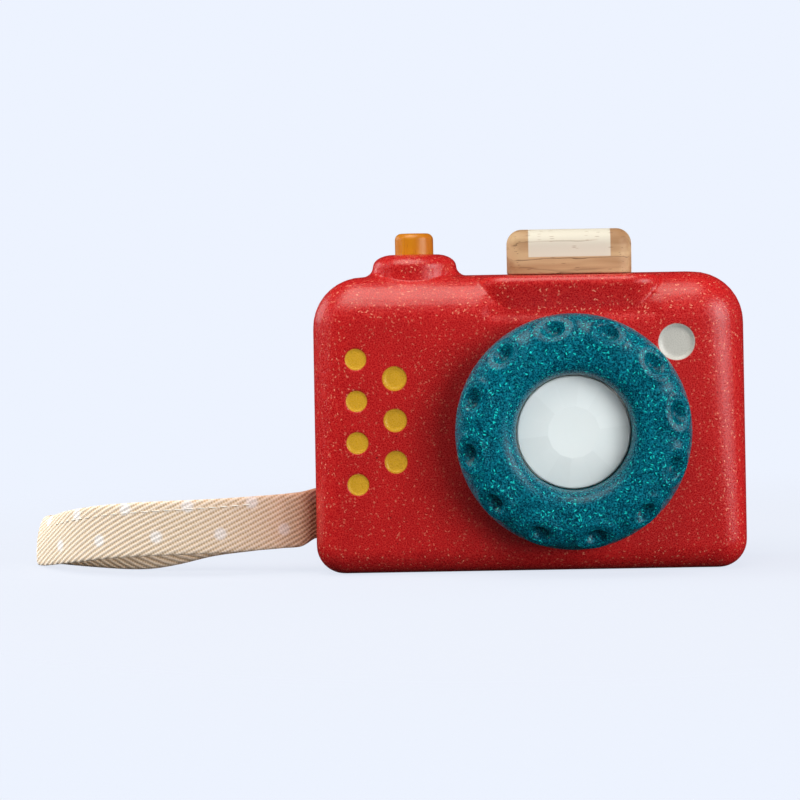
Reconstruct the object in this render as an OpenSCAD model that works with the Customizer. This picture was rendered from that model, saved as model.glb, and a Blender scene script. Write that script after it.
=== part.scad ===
// Toy camera for pretend play. A moulded wood-fibre body carries a turning lens ring with a
// faceted clear lens, a sprung shutter button, a wooden finder block and a looped wrist strap.
// Millimetres, Z up, the lens looks towards -Y, and the origin is on the base under the body.

/* [Body] */
// Width of the body
body_w = 118.4; // [112:0.2:150]
// Height of the body, without what stands on it
body_h = 81.2; // [80:0.1:100]
// Depth of the body from its front face to its back face
body_d = 36; // [34:0.5:50]
// Radius of the two top corners, seen from the front
corner_top_r = 13.9; // [12.6:0.1:18]
// Radius of the two bottom corners, seen from the front
corner_low_r = 7.8; // [7.1:0.1:12]
// Rounding of the front edge along the top
edge_top_r = 12; // [9:0.5:12.5]
// Rounding of the front edge along the base
edge_low_r = 7; // [5:0.5:7]
// Rounding of the back edge
edge_back_r = 4.5; // [2:0.25:4.5]
// Thickness of the top, the sides and the base
wall = 6; // [5:0.25:7]
// Thickness of the front
front_wall = 7; // [6:0.25:9]
// Thickness of the rear cover
cover_t = 5; // [4.75:0.25:8]
// Width of the cover's register lip
lip_w = 2.4; // [1.5:0.1:3]
// Height of the cover's register lip
lip_h = 3; // [2:0.25:5]
// Radius of the posts that the cover is pegged to
post_r = 4; // [3.5:0.25:5]

/* [Hood under the finder] */
// Width of the raised hood on the top front edge
hood_w = 50; // [40:0.5:56]
// Radius of the hood's corners, seen from above
hood_corner_r = 9; // [4:0.5:10]
// Rounding of the hood's top edge
hood_edge_r = 2.2; // [1:0.1:3]
// How far the hood's brow stands out from the front face
hood_out = 0.65; // [0.2:0.05:1]
// Angle at which the hood's front leans out to its brow
hood_lean = 8; // [4:0.5:10]
// How far the hood's top lies below the top of the body
hood_drop = 0.3; // [0.2:0.1:1.5]

/* [Painted recesses] */
// Diameter of a dot
dot_d = 5.8; // [4:0.1:7]
// Depth of a dot
dot_depth = 0.5; // [0.4:0.1:1.5]
// Width of the sloping rim round a dot
dot_rim = 0.15; // [0.1:0.05:0.6]
// Distance between neighbouring dots of a column
dot_pitch = 11.35; // [9:0.05:12]
// Distance between the two columns
dot_column = 10.4; // [9:0.1:12]
// How far a dot of the inner column lies below its neighbour in the outer one
dot_drop = 5.35; // [4:0.05:7]
// Dots in the outer column; the inner one has one less
dot_rows = 4; // [2:1:4]
// From the side of the body to the outer column
dot_side = 12.3; // [11.5:0.1:16]
// Height of the top dot above the base
dot_top = 59.1; // [55:0.1:62]
// Diameter of the flash recess at its rim
flash_d = 10; // [8:0.1:11]
// Diameter of the flash recess at its floor
flash_floor_d = 8; // [6:0.1:8]
// Depth of the flash recess
flash_depth = 1.5; // [0.8:0.1:3]
// From the side of the body to the middle of the flash
flash_side = 19.2; // [17:0.1:22]
// Height of the flash above the base
flash_z = 62.4; // [60:0.1:64]

/* [Lens] */
// Lens axis, to the right of the middle of the body
lens_x = 11.6; // [8:0.1:14]
// Height of the lens axis above the base
lens_z = 39; // [37:0.1:42]
// Outside diameter of the lens ring
ring_d = 63.5; // [58:0.1:66]
// How far the ring stands out from the front face
ring_t = 15; // [13.5:0.25:18]
// Bore of the ring that shows the lens
ring_bore_d = 31; // [30:0.1:32]
// Rounding of the ring's outer shoulder
shoulder_r = 9; // [7:0.25:10]
// Rounding of the ring's edge next to the body
ring_back_r = 4.6; // [3:0.2:5]
// Rounding of the ring's inner edge
ring_roll_r = 3.4; // [2:0.2:4]
// Thumb dimples round the ring
dimple_count = 12; // [8:1:14]
// Angle of the first dimple
dimple_start = 10.5; // [0:0.5:30]
// Radius of the ball that forms a dimple
dimple_r = 5; // [4:0.1:5.5]
// Depth of a dimple
dimple_depth = 1.8; // [1:0.1:2.2]
// Where the dimples lie on the shoulder, measured from its outermost line
dimple_tilt = 50; // [40:1:60]
// Diameter of the clear lens
lens_d = 30.4; // [29:0.1:30.6]
// Thickness of the lens at its rim
lens_rim_t = 2.6; // [1.5:0.1:3]
// Rise of the facets from the rim to the table
facet_rise = 1.1; // [0.5:0.1:1.6]
// Facets round the table
facet_count = 14; // [6:1:18]
// Angle of the first edge between two facets
facet_start = 7.3; // [0:0.1:25]
// Diameter of the flat table in the middle of the lens
table_d = 14; // [10:0.5:16]
// Seat of the lens, in front of the front face
lens_seat = 5; // [4:0.25:9]
// Outside diameter of the sleeve that the ring turns on
sleeve_d = 36; // [35:0.25:37]
// Inside diameter of the sleeve
sleeve_bore_d = 27; // [25:0.5:28]
// Width of the collar that keeps the sleeve in the body
collar_w = 4.5; // [3:0.25:6]
// Thickness of the collar
collar_t = 3; // [2:0.25:5]
// Width of the washer behind the ring
glide_w = 6; // [4:0.25:7]
// Thickness of the washer behind the ring
glide_t = 0.6; // [0.4:0.1:1]
// Height of the cover's ring round the end of the sleeve
journal_h = 4; // [2:0.25:6]
// Wall of the cover's ring round the end of the sleeve
journal_w = 3; // [2:0.25:4]
// Diameter of the eyepiece hole
eye_d = 24; // [18:0.5:26]
// Rounding of the eyepiece's rim
eye_rim_r = 2.5; // [1:0.25:3]

/* [Shutter button] */
// Button axis, to the left of the middle of the body
button_x = 31.2; // [28:0.1:32]
// Diameter of the button
button_d = 10.6; // [9:0.1:12]
// How far the button stands out of its hump
button_proud = 5.8; // [5:0.1:7]
// Rounding of the button's top edge
button_edge_r = 1.8; // [0.6:0.1:2]
// How far the button travels
button_travel = 4; // [3.5:0.1:4.5]
// Radius of the hump round the button
hump_r = 11.6; // [10:0.1:12]
// Height of the hump
hump_h = 6; // [4:0.1:7]
// Height of the hump's soft shoulder
hump_edge_h = 3.4; // [1.5:0.1:3.6]
// Width of the flat land between the button and the hump's shoulder
hump_land = 0.5; // [0.3:0.1:1.5]
// Flare at the foot of the hump
hump_flare_r = 2.8; // [1:0.1:3]
// Depth of the shoulder that stops the button, below the top of the body
stop_depth = 4.3; // [3.5:0.1:5]
// Diameter of the washer under the button
button_washer_d = 15.4; // [14.5:0.1:16]
// Thickness of the washer under the button
button_washer_t = 1.5; // [1:0.1:2.5]
// Diameter of the screw's shank
screw_d = 2.6; // [2:0.1:3]
// Length of the screw's shank above the washer
screw_len = 9; // [6:0.5:11]
// Diameter of the screw's head
screw_head_d = 5.2; // [4:0.1:6]
// Height of the screw's head
screw_head_h = 1.6; // [1:0.1:2]
// Height left for the spring when the button is pressed
spring_pressed_h = 6; // [5.5:0.25:8]
// Diameter of the spring's wire
spring_wire = 0.9; // [0.6:0.05:0.9]
// Mean diameter of the spring's coils
spring_mean_d = 11.2; // [10.6:0.1:12]
// Coils of the spring
spring_coils = 5.5; // [4:0.5:5.5]
// Thickness of the plug under the spring
plug_t = 3; // [2:0.25:4]
// Diameter of the plug's spigot inside the spring
spigot_d = 8.4; // [6:0.1:9]
// Height of the plug's spigot
spigot_h = 2; // [1:0.1:2]
// Wall of the tube round the spring
spring_tube_w = 2.5; // [2:0.1:3]

/* [Finder block] */
// Width of the block
block_w = 34.4; // [28:0.2:40]
// Depth of the block
block_d = 16; // [13:0.5:20]
// Height of the block
block_h = 12.3; // [10:0.1:16]
// Rounding of the block's top edges and corners
block_r = 4.2; // [2:0.1:5]
// Distance between the block's two dowels
block_dowel_gap = 18; // [14:0.5:20]
// Diameter of the block's dowels
block_dowel_d = 5; // [4:0.25:6]
// Depth of the dowel holes in the body
block_dowel_low = 4; // [3:0.25:4.5]
// Depth of the dowel holes in the block
block_dowel_high = 6; // [4:0.25:7]

/* [Pegs and strap] */
// Diameter of the pegs that hold the cover
peg_d = 4; // [3:0.25:4.5]
// Depth of the peg holes in the posts
peg_in_post = 7; // [4:0.5:10]
// Depth of the peg holes in the cover
peg_in_cover = 3; // [2:0.25:3.5]
// Width of the strap's cotton tape
tape_w = 15; // [12:0.5:15.5]
// Thickness of the tape
tape_t = 1.2; // [0.9:0.05:1.3]
// Gap between the front wall and the strap's turn round its bar
turn_gap = 0.3; // [0.2:0.1:3]
// Height of the middle of the strap where it leaves the body
strap_z = 14.7; // [14.5:0.1:16]
// Width of the slot in the side of the body
slot_w = 4.4; // [4:0.1:5]
// Diameter of the bar that the strap loops round
bar_d = 4; // [3.5:0.1:4.5]
// Gap between the side wall and the bar
bar_inset = 3; // [2.5:0.1:4]
// Depth of the bar's socket in the base
bar_socket = 3; // [2:0.25:3.5]
// Height of the lug that holds the top of the bar
lug_h = 4.4; // [3:0.2:6]

/* [Clearances] */
// Radial gap of what turns or slides
run_gap = 0.1; // [0.05:0.01:0.3]
// Gap at the end of what turns or slides
end_gap = 0.2; // [0.1:0.05:0.3]
// Radial gap of what is glued or screwed
glue_gap = 0.05; // [0.03:0.01:0.1]
// Gap round the tape and round the cover's lip
loose_gap = 0.3; // [0.2:0.05:0.35]

/* [Hidden] */

$fn = 64;
soft_fn = 36;
past = 1;

red = "#b21c21";
teal = "#00697d";
yellow = "#d8a22c";
wood = "#e6cba2";
cotton = "#e1c8a5";
steel = "#b9bdc2";
clear = "#dee6e8";
fibre = "#6b4a35";
ivory = "#ece7da";

// Planes of the body and of its cavity
front_y = -body_d / 2;
back_y = body_d / 2;
seam_y = back_y - cover_t;
cavity_front_y = front_y + front_wall;
cavity_w = body_w - 2 * wall;
cavity_top = body_h - wall;
cavity_corner_top = corner_top_r - wall;
cavity_corner_low = max(corner_low_r - wall, 1.5);

// Places on the body
post_reach = lip_w + 2 * loose_gap + post_r;
post_top_z = cavity_top - post_reach;
post_low_z = wall + post_reach;
post_side_x = cavity_w / 2 - post_reach;
post_low_x = post_side_x - post_r - bar_d - bar_inset;
posts = [[-post_side_x, post_top_z], [post_side_x, post_top_z],
    [-post_low_x, post_low_z], [post_side_x, post_low_z]];
block_x = lens_x;

// Heights in the button's stack, from the top of the body downwards
spring_h = spring_pressed_h + button_travel;
button_low = -stop_depth - end_gap;
washer_low = button_low - button_washer_t;
spring_low = washer_low - spring_h;
plug_low = spring_low - plug_t;
spring_bore_r = button_washer_d / 2 + run_gap;
spring_tube_r = spring_bore_r + spring_tube_w;
hump_top_r = button_d / 2 + run_gap + hump_land;
hump_steps = 9;
flare_angle = 75;
flare_steps = 5;
flare_root = 1;
flare_lap = 0.06;
flare_top_r = hump_r - flare_lap;
flare_core_r = hump_r - flare_root;
hump_foot_r = flare_top_r + hump_flare_r * (1 - cos(flare_angle));

// Ring section: radius outwards, height forwards from the front face
ring_back = glide_t + end_gap;
belt_z = ring_back + ring_back_r;
shoulder_z = ring_t - shoulder_r;
belt_top = max(belt_z, shoulder_z);

// Strap bar, tape and slot
bar_x = -body_w / 2 + wall + bar_inset + bar_d / 2;
bar_low = wall - bar_socket;
tape_top = strap_z + tape_w / 2;
lug_low = tape_top + loose_gap;
bar_turn_r = bar_d / 2 + loose_gap + tape_t / 2;
strap_y = -cavity_front_y - turn_gap - tape_t / 2 - bar_turn_r;
strand_gap = slot_w / 2 - loose_gap - tape_t / 2;

// Middle of the tape outside the body: outwards, backwards and upwards from the slot
strap_route = [[-wall, strand_gap, 0], [0, strand_gap, 0], [5, 1.5, -0.1], [11, 2.4, -0.7],
    [19, 3.8, -1.6], [29.4, 5.6, -3], [39.5, 7.6, -5.4], [47, 9.2, -6.7], [54.3, 11.6, -7.1],
    [64, 16.6, -7.1], [72, 22, -7.1], [77.6, 26, -7.1], [81.2, 27.2, -7.1], [82.7, 24.2, -7],
    [79.8, 18.8, -6.6], [74.4, 12, -5.4], [67.5, 4.6, -3.9], [60.1, -0.8, -2.6],
    [51, -4.6, -1.6], [41.2, -6.3, -1.1], [27.6, -5.7, -0.8], [14, -3.6, -0.3], [6, -2.1, 0],
    [0, -strand_gap, 0], [-wall, -strand_gap, 0]];
tape_steps = 4;
bar_turn_steps = 8;

// Tape seen as a closed loop: round the bar, out along the back strand, in along the front one
bar_turn = [for (i = [0 : bar_turn_steps])
    let (a = -90 + 180 * i / bar_turn_steps)
    [bar_x + bar_turn_r * cos(a), -strap_y + bar_turn_r * sin(a), strap_z]];
strap_outside = [for (p = strap_route) [-body_w / 2 - p[0], -strap_y + p[1], strap_z + p[2]]];
strap_loop = concat(bar_turn, strap_outside);

function spline_point(a, b, c, d, t) =
    0.5 * (2 * b + (c - a) * t + (2 * a - 5 * b + 4 * c - d) * t * t
        + (3 * b - a - 3 * c + d) * t * t * t);

function closed_spline(points, steps) =
    let (n = len(points))
    [for (i = [0 : n - 1], k = [0 : steps - 1])
        spline_point(points[(i + n - 1) % n], points[i], points[(i + 1) % n],
            points[(i + 2) % n], k / steps)];

function unit(v) = v / norm(v);

// Four corners of the tape's section at each point of its closed middle line
function tape_rings(line) =
    let (n = len(line), up = [0, 0, tape_w / 2])
    [for (i = [0 : n - 1])
        let (run = line[(i + 1) % n] - line[(i + n - 1) % n],
            side = unit([run[1], -run[0], 0]) * tape_t / 2)
        [line[i] + side - up, line[i] + side + up, line[i] - side + up, line[i] - side - up]];

// Rings of a round wire wound upwards about Z
function coil_rings(mean_r, wire_r, height, coils, per_coil, sides) =
    let (steps = round(coils * per_coil), climb = (height - 2 * wire_r) / steps)
    [for (i = [0 : steps])
        let (a = 360 * i / per_coil, z = wire_r + climb * i)
        [for (k = [0 : sides - 1])
            let (b = 360 * k / sides, r = mean_r + wire_r * cos(b))
            [r * cos(a), r * sin(a), z + wire_r * sin(b)]]];

// How far the body's top lies below its highest level, at a place in front of the middle
function top_drop(y) =
    let (over = max(0, -y - body_d / 2 + edge_top_r))
    edge_top_r - sqrt(edge_top_r * edge_top_r - over * over);

// Radius of the flare in one direction, held in front of the seam with the cover
function flare_reach(r, a) = sin(a) > 0 ? min(r, (seam_y - flare_lap) / sin(a)) : r;

// Sections of the hollow flare round the hump: each stands on the body's top where it lies
function flare_rings(count, steps) =
    [for (i = [0 : count - 1])
        let (a = 360 * i / count, root = flare_root + top_drop(-hump_foot_r),
            foot = flare_reach(hump_foot_r, a))
        concat(
            [[foot * cos(a), foot * sin(a), -root]],
            [for (k = [steps : -1 : 0])
                let (turn = flare_angle * k / steps,
                    r = flare_reach(flare_top_r + hump_flare_r * (1 - cos(turn)), a),
                    z = hump_flare_r * (1 - sin(turn)) - top_drop(r * sin(a)))
                [r * cos(a), r * sin(a), z]],
            [[flare_core_r * cos(a), flare_core_r * sin(a), hump_flare_r - root],
                [flare_core_r * cos(a), flare_core_r * sin(a), -root]])];

// Skin over a row of rings with equally many points, closed end to end or capped
module skin(rings, closed = false) {
    n = len(rings);
    m = len(rings[0]);
    last = closed ? n - 1 : n - 2;
    sides = [for (i = [0 : last], k = [0 : m - 1])
        let (a = i * m + k, b = i * m + (k + 1) % m, c = ((i + 1) % n) * m)
        each [[a, b, c + k], [b, c + (k + 1) % m, c + k]]];
    caps = closed ? [] : [for (k = [1 : m - 2])
        each [[0, k + 1, k], [(n - 1) * m, (n - 1) * m + k, (n - 1) * m + k + 1]]];
    polyhedron(points = [for (r = rings) each r], faces = concat(sides, caps));
}

// Rectangle with its own radius at the top and the bottom corners, standing on the X axis
module corner_rect(w, low, high, r_top, r_low) {
    translate([-w / 2, low + r_low])
        square([w, high - low - r_low - r_top]);
    translate([-w / 2 + r_low, low])
        square([w - 2 * r_low, r_low]);
    translate([-w / 2 + r_top, high - r_top])
        square([w - 2 * r_top, r_top]);
    for (s = [-1, 1]) {
        translate([s * (w / 2 - r_low), low + r_low])
            circle(r_low);
        translate([s * (w / 2 - r_top), high - r_top])
            circle(r_top);
    }
}

// Places children at the body's four corners, as a disc of the corner's radius would lie
module at_corners(top) {
    r = top ? corner_top_r : corner_low_r;
    for (s = [-1, 1])
        translate([s * (body_w / 2 - r), 0, top ? body_h - r : r])
            children();
}

// Disc about the Y axis with a rounded edge at its near end
module edged_disc(r, edge_r, near, far) {
    step = far > near ? 1 : -1;
    rotate([-90, 0, 0])
        rotate_extrude($fn = soft_fn) {
            intersection() {
                translate([r - edge_r, near + step * edge_r])
                    circle(edge_r, $fn = soft_fn);
                translate([0, near - past])
                    square([r, 2 * edge_r + 2 * past]);
            }
            translate([0, min(near + step * edge_r, far)])
                square([r, abs(far - near) - edge_r]);
        }
}

module front_form() {
    hull() {
        at_corners(true)
            edged_disc(corner_top_r, edge_top_r, front_y, seam_y);
        at_corners(false)
            edged_disc(corner_low_r, edge_low_r, front_y, seam_y);
    }
}

module cover_form() {
    hull() {
        at_corners(true)
            edged_disc(corner_top_r, edge_back_r, back_y, seam_y);
        at_corners(false)
            edged_disc(corner_low_r, edge_back_r, back_y, seam_y);
    }
}

// Puts children on the lens axis, Z forwards, with zero at the front face
module on_lens_axis() {
    translate([lens_x, front_y, lens_z])
        rotate([90, 0, 0])
            children();
}

// Puts children on the button's axis, Z upwards, with zero at the top of the body
module on_button_axis() {
    translate([-button_x, 0, body_h])
        children();
}

// Raised hood that leans out to a soft brow, with front corners that are round from above
module hood() {
    low = body_h - edge_top_r - corner_low_r;
    brow = body_h - hood_drop - hood_edge_r;
    low_r = hood_corner_r - (brow - low) * tan(hood_lean);
    depth = [front_y - hood_out + hood_corner_r, front_y + edge_top_r + hood_corner_r];
    hull()
        for (s = [-1, 1], y = depth)
            translate([lens_x + s * (hood_w / 2 - hood_corner_r), y, 0])
                rotate_extrude($fn = soft_fn) {
                    polygon([[0, low], [low_r, low], [hood_corner_r, brow], [0, brow]]);
                    translate([hood_corner_r - hood_edge_r, brow])
                        circle(hood_edge_r, $fn = soft_fn);
                }
}

// Round hump with a sloping shoulder, whose foot flares into the rounded top edge of the body
module hump() {
    root = wall / 2;
    shoulder_z = hump_h - hump_edge_h;
    rotate_extrude()
        polygon(concat(
            [[0, -root], [hump_r, -root]],
            [for (k = [0 : hump_steps])
                let (a = 90 * k / hump_steps)
                [hump_top_r + (hump_r - hump_top_r) * cos(a), shoulder_z + hump_edge_h * sin(a)]],
            [[0, hump_h]]));
    skin(flare_rings(soft_fn, flare_steps), closed = true);
}

// Shallow round recess sunk into the front face, with a sloping rim
module face_recess(x, z, floor_d, rim_d, depth) {
    translate([x, front_y, z])
        rotate([-90, 0, 0]) {
            cylinder(h = depth, d1 = rim_d, d2 = floor_d);
            translate([0, 0, -past])
                cylinder(h = past, d = rim_d);
        }
}

module painted_recesses() {
    for (column = [0, 1], row = [0 : dot_rows - 1 - column])
        face_recess(-body_w / 2 + dot_side + column * dot_column,
            dot_top - row * dot_pitch - column * dot_drop, dot_d, dot_d + 2 * dot_rim, dot_depth);
    face_recess(body_w / 2 - flash_side, flash_z, flash_floor_d, flash_d, flash_depth);
}

// Inside of the shell, open at the seam
module cavity() {
    translate([0, seam_y + past, 0])
        rotate([90, 0, 0])
            linear_extrude(seam_y + past - cavity_front_y)
                corner_rect(cavity_w, wall, cavity_top, cavity_corner_top, cavity_corner_low);
}

module peg_holes(depth, r) {
    for (p = posts)
        translate([p[0], seam_y, p[1]])
            rotate([90, 0, 0])
                translate([0, 0, -past])
                    cylinder(h = depth + past, r = r);
}

// Upper lug for the strap's bar: the bar is pushed sideways into its open jaw
module bar_lug() {
    reach = wall + bar_inset + bar_d;
    difference() {
        translate([-body_w / 2 + wall / 2, cavity_front_y - past, lug_low])
            cube([reach - wall / 2, 2 * bar_d + past, lug_h]);
        translate([bar_x, -strap_y, lug_low - past]) {
            cylinder(h = lug_h + 2 * past, d = bar_d + 2 * glue_gap);
            translate([0, -bar_d / 2 - glue_gap, 0])
                cube([reach, bar_d + 2 * glue_gap, lug_h + 2 * past]);
        }
    }
}

module front_shell() {
    color(red)
        difference() {
            union() {
                difference() {
                    union() {
                        front_form();
                        hood();
                        on_button_axis()
                            hump();
                    }
                    cavity();
                }
                for (p = posts)
                    translate([p[0], seam_y, p[1]])
                        rotate([90, 0, 0])
                            cylinder(h = seam_y - cavity_front_y + past, r = post_r);
                on_button_axis()
                    translate([0, 0, plug_low])
                        cylinder(h = -plug_low - wall / 2, r = spring_tube_r);
                bar_lug();
            }
            on_lens_axis()
                translate([0, 0, -front_wall - past])
                    cylinder(h = front_wall + 2 * past, r = sleeve_d / 2 + run_gap);
            on_button_axis() {
                translate([0, 0, -stop_depth - past])
                    cylinder(h = stop_depth + hump_h + 2 * past, r = button_d / 2 + run_gap);
                translate([0, 0, plug_low - past])
                    cylinder(h = past - plug_low - stop_depth, r = spring_bore_r);
            }
            painted_recesses();
            peg_holes(peg_in_post, peg_d / 2 + glue_gap);
            for (s = [-1, 1])
                translate([block_x + s * block_dowel_gap / 2, 0, body_h - block_dowel_low])
                    cylinder(h = block_dowel_low + past, r = block_dowel_d / 2 + glue_gap);
            translate([-body_w / 2 - past, -strap_y - slot_w / 2, tape_top - tape_w - loose_gap])
                cube([wall + 2 * past, slot_w, tape_w + 2 * loose_gap]);
            translate([bar_x, -strap_y, bar_low])
                cylinder(h = bar_socket + past, r = bar_d / 2 + glue_gap);
        }
}

module rear_cover() {
    lip_outer = 2 * loose_gap;
    color(red)
        difference() {
            union() {
                cover_form();
                translate([0, seam_y + past, 0])
                    rotate([90, 0, 0])
                        linear_extrude(lip_h + past)
                            difference() {
                                corner_rect(cavity_w - lip_outer, wall + loose_gap,
                                    cavity_top - loose_gap, cavity_corner_top, cavity_corner_low);
                                corner_rect(cavity_w - lip_outer - 2 * lip_w,
                                    wall + loose_gap + lip_w, cavity_top - loose_gap - lip_w,
                                    cavity_corner_top, cavity_corner_low);
                                for (p = posts)
                                    translate(p)
                                        circle(post_r + loose_gap);
                                translate([-button_x - spring_tube_r - loose_gap, cavity_top / 2])
                                    square([2 * spring_tube_r + 2 * loose_gap, cavity_top / 2]);
                            }
                on_lens_axis()
                    translate([0, 0, front_y - seam_y - past])
                        cylinder(h = journal_h + past, r = sleeve_d / 2 + run_gap + journal_w);
            }
            on_lens_axis()
                translate([0, 0, front_y - seam_y])
                    cylinder(h = journal_h + past, r = sleeve_d / 2 + run_gap);
            on_lens_axis()
                translate([0, 0, front_y - back_y])
                    rotate_extrude() {
                        translate([0, -past])
                            square([eye_d / 2, cover_t + 2 * past]);
                        difference() {
                            translate([0, -past])
                                square([eye_d / 2 + eye_rim_r, past + eye_rim_r]);
                            translate([eye_d / 2 + eye_rim_r, eye_rim_r])
                                circle(eye_rim_r);
                        }
                    }
            mirror([0, 1, 0])
                translate([0, -2 * seam_y, 0])
                    peg_holes(peg_in_cover, peg_d / 2 + glue_gap);
        }
}

module cover_pegs() {
    color(wood)
        for (p = posts)
            translate([p[0], seam_y + peg_in_cover - end_gap, p[1]])
                rotate([90, 0, 0])
                    cylinder(h = peg_in_cover + peg_in_post - 2 * end_gap, r = peg_d / 2);
}

// Half section of the ring: a soft roll inside, a flat crest and a wide shoulder outside
module ring_section() {
    bore_r = ring_bore_d / 2;
    out_r = ring_d / 2;
    roll_z = ring_t - ring_roll_r;
    translate([bore_r, ring_back])
        square([ring_roll_r, roll_z - ring_back]);
    translate([bore_r + ring_roll_r, roll_z])
        circle(ring_roll_r);
    translate([bore_r + ring_roll_r, ring_back])
        square([out_r - shoulder_r - bore_r - ring_roll_r, ring_t - ring_back]);
    translate([out_r - shoulder_r, ring_back])
        square([shoulder_r - ring_back_r, belt_top - ring_back]);
    translate([out_r - ring_back_r, belt_z])
        square([ring_back_r, max(belt_top - belt_z, 0.01)]);
    intersection() {
        translate([out_r - shoulder_r, shoulder_z])
            circle(shoulder_r);
        translate([out_r - shoulder_r, belt_z])
            square([shoulder_r, ring_t]);
    }
    intersection() {
        translate([out_r - ring_back_r, belt_z])
            circle(ring_back_r);
        translate([out_r - ring_back_r, ring_back])
            square([ring_back_r, ring_back_r]);
    }
}

module lens_ring() {
    pit_rise = shoulder_r + dimple_r - dimple_depth;
    color(teal)
        on_lens_axis()
            difference() {
                rotate_extrude($fn = 96)
                    ring_section();
                translate([0, 0, ring_back - past])
                    cylinder(h = lens_seat - ring_back + past, r = sleeve_d / 2 + glue_gap);
                for (i = [0 : dimple_count - 1])
                    rotate([0, 0, dimple_start + 360 * i / dimple_count])
                        translate([ring_d / 2 - shoulder_r + pit_rise * cos(dimple_tilt), 0,
                            shoulder_z + pit_rise * sin(dimple_tilt)])
                            rotate([90, 0, 0])
                                sphere(dimple_r, $fn = 32);
            }
}

// Round plate with a ring of flat facets that rise to a flat table
module faceted_lens() {
    half_facet = 180 / facet_count;
    color(clear)
        on_lens_axis()
            translate([0, 0, lens_seat]) {
                cylinder(h = lens_rim_t, d = lens_d);
                intersection() {
                    cylinder(h = lens_rim_t + facet_rise, d = lens_d);
                    translate([0, 0, lens_rim_t])
                        rotate([0, 0, facet_start])
                            linear_extrude(facet_rise, scale = table_d * cos(half_facet) / lens_d)
                                circle(d = lens_d / cos(half_facet), $fn = facet_count);
                }
            }
}

module lens_sleeve() {
    length = lens_seat + body_d - cover_t - end_gap;
    color(ivory)
        on_lens_axis()
            translate([0, 0, lens_seat - length])
                difference() {
                    cylinder(h = length, d = sleeve_d);
                    translate([0, 0, -past])
                        cylinder(h = length + 2 * past, d = sleeve_bore_d);
                }
}

module flat_washer(thick, outer_d, inner_r) {
    difference() {
        cylinder(h = thick, d = outer_d);
        translate([0, 0, -past])
            cylinder(h = thick + 2 * past, r = inner_r);
    }
}

module sleeve_collar() {
    color(wood)
        on_lens_axis()
            translate([0, 0, -front_wall - end_gap - collar_t])
                flat_washer(collar_t, sleeve_d + 2 * collar_w, sleeve_d / 2 + glue_gap);
}

module glide_washer() {
    color(fibre)
        on_lens_axis()
            flat_washer(glide_t, sleeve_d + 2 * glide_w, sleeve_d / 2 + run_gap);
}

module shutter_button() {
    top = hump_h + button_proud;
    color(yellow)
        on_button_axis()
            difference() {
                rotate_extrude() {
                    translate([0, button_low])
                        square([button_d / 2, top - button_edge_r - button_low]);
                    translate([0, top - button_edge_r])
                        square([button_d / 2 - button_edge_r, button_edge_r]);
                    translate([button_d / 2 - button_edge_r, top - button_edge_r])
                        circle(button_edge_r);
                }
                translate([0, 0, button_low - past])
                    cylinder(h = screw_len + end_gap + past, r = screw_d / 2 + glue_gap);
            }
}

module button_washer() {
    color(steel)
        on_button_axis()
            translate([0, 0, washer_low])
                flat_washer(button_washer_t, button_washer_d, screw_d / 2 + glue_gap);
}

module washer_screw() {
    color(steel)
        on_button_axis()
            translate([0, 0, washer_low]) {
                cylinder(h = button_washer_t + screw_len, d = screw_d);
                translate([0, 0, -screw_head_h])
                    cylinder(h = screw_head_h, d = screw_head_d);
            }
}

module button_spring() {
    clear_h = spring_h - 2 * end_gap;
    echo(spring_gap = (clear_h - spring_wire) / spring_coils - spring_wire);
    color(steel)
        on_button_axis()
            translate([0, 0, spring_low + end_gap])
                skin(coil_rings(spring_mean_d / 2, spring_wire / 2, clear_h, spring_coils, 8, 6));
}

module spring_plug() {
    color(wood)
        on_button_axis()
            translate([0, 0, plug_low]) {
                cylinder(h = plug_t, r = spring_bore_r - glue_gap);
                cylinder(h = plug_t + spigot_h, d = spigot_d);
            }
}

module finder_block() {
    side_x = block_w / 2 - block_r;
    side_y = block_d / 2 - block_r;
    color(wood)
        difference() {
            translate([block_x, 0, body_h])
                hull()
                    for (sx = [-1, 1], sy = [-1, 1])
                        translate([sx * side_x, sy * side_y, 0]) {
                            cylinder(h = block_h - block_r, r = block_r, $fn = soft_fn);
                            translate([0, 0, block_h - block_r])
                                sphere(block_r, $fn = soft_fn);
                        }
            for (s = [-1, 1])
                translate([block_x + s * block_dowel_gap / 2, 0, body_h - past])
                    cylinder(h = block_dowel_high + past, r = block_dowel_d / 2 + glue_gap);
        }
}

module block_dowels() {
    color(wood)
        for (s = [-1, 1])
            translate([block_x + s * block_dowel_gap / 2, 0, body_h - block_dowel_low + end_gap])
                cylinder(h = block_dowel_low + block_dowel_high - 2 * end_gap, d = block_dowel_d);
}

module wrist_strap() {
    color(cotton)
        skin(tape_rings(closed_spline(strap_loop, tape_steps)), closed = true);
}

module strap_bar() {
    color(wood)
        translate([bar_x, -strap_y, bar_low + end_gap])
            cylinder(h = lug_low + lug_h - bar_low - end_gap, d = bar_d);
}

front_shell();
rear_cover();
cover_pegs();
lens_ring();
faceted_lens();
lens_sleeve();
sleeve_collar();
glide_washer();
shutter_button();
button_washer();
washer_screw();
button_spring();
spring_plug();
finder_block();
block_dowels();
wrist_strap();
strap_bar();
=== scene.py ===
"""Looks of a toy camera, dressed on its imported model.

The body and the lens ring are pressed from dyed wood fibre, the finder block and the shutter button
are sanded wood, the lens is clear acrylic and the wrist strap is cotton twill tape.
Metres, Z up, and the lens looks towards -Y. Sizes in the classes are millimetres.
A finish's ramps hold a Map Range node's inputs by number: 1 and 2 are turned into 3 and 4.
"""

import logging
import math
from dataclasses import dataclass, replace
from enum import Enum

import bpy
import numpy as np
from mathutils import Matrix, Vector


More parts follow.
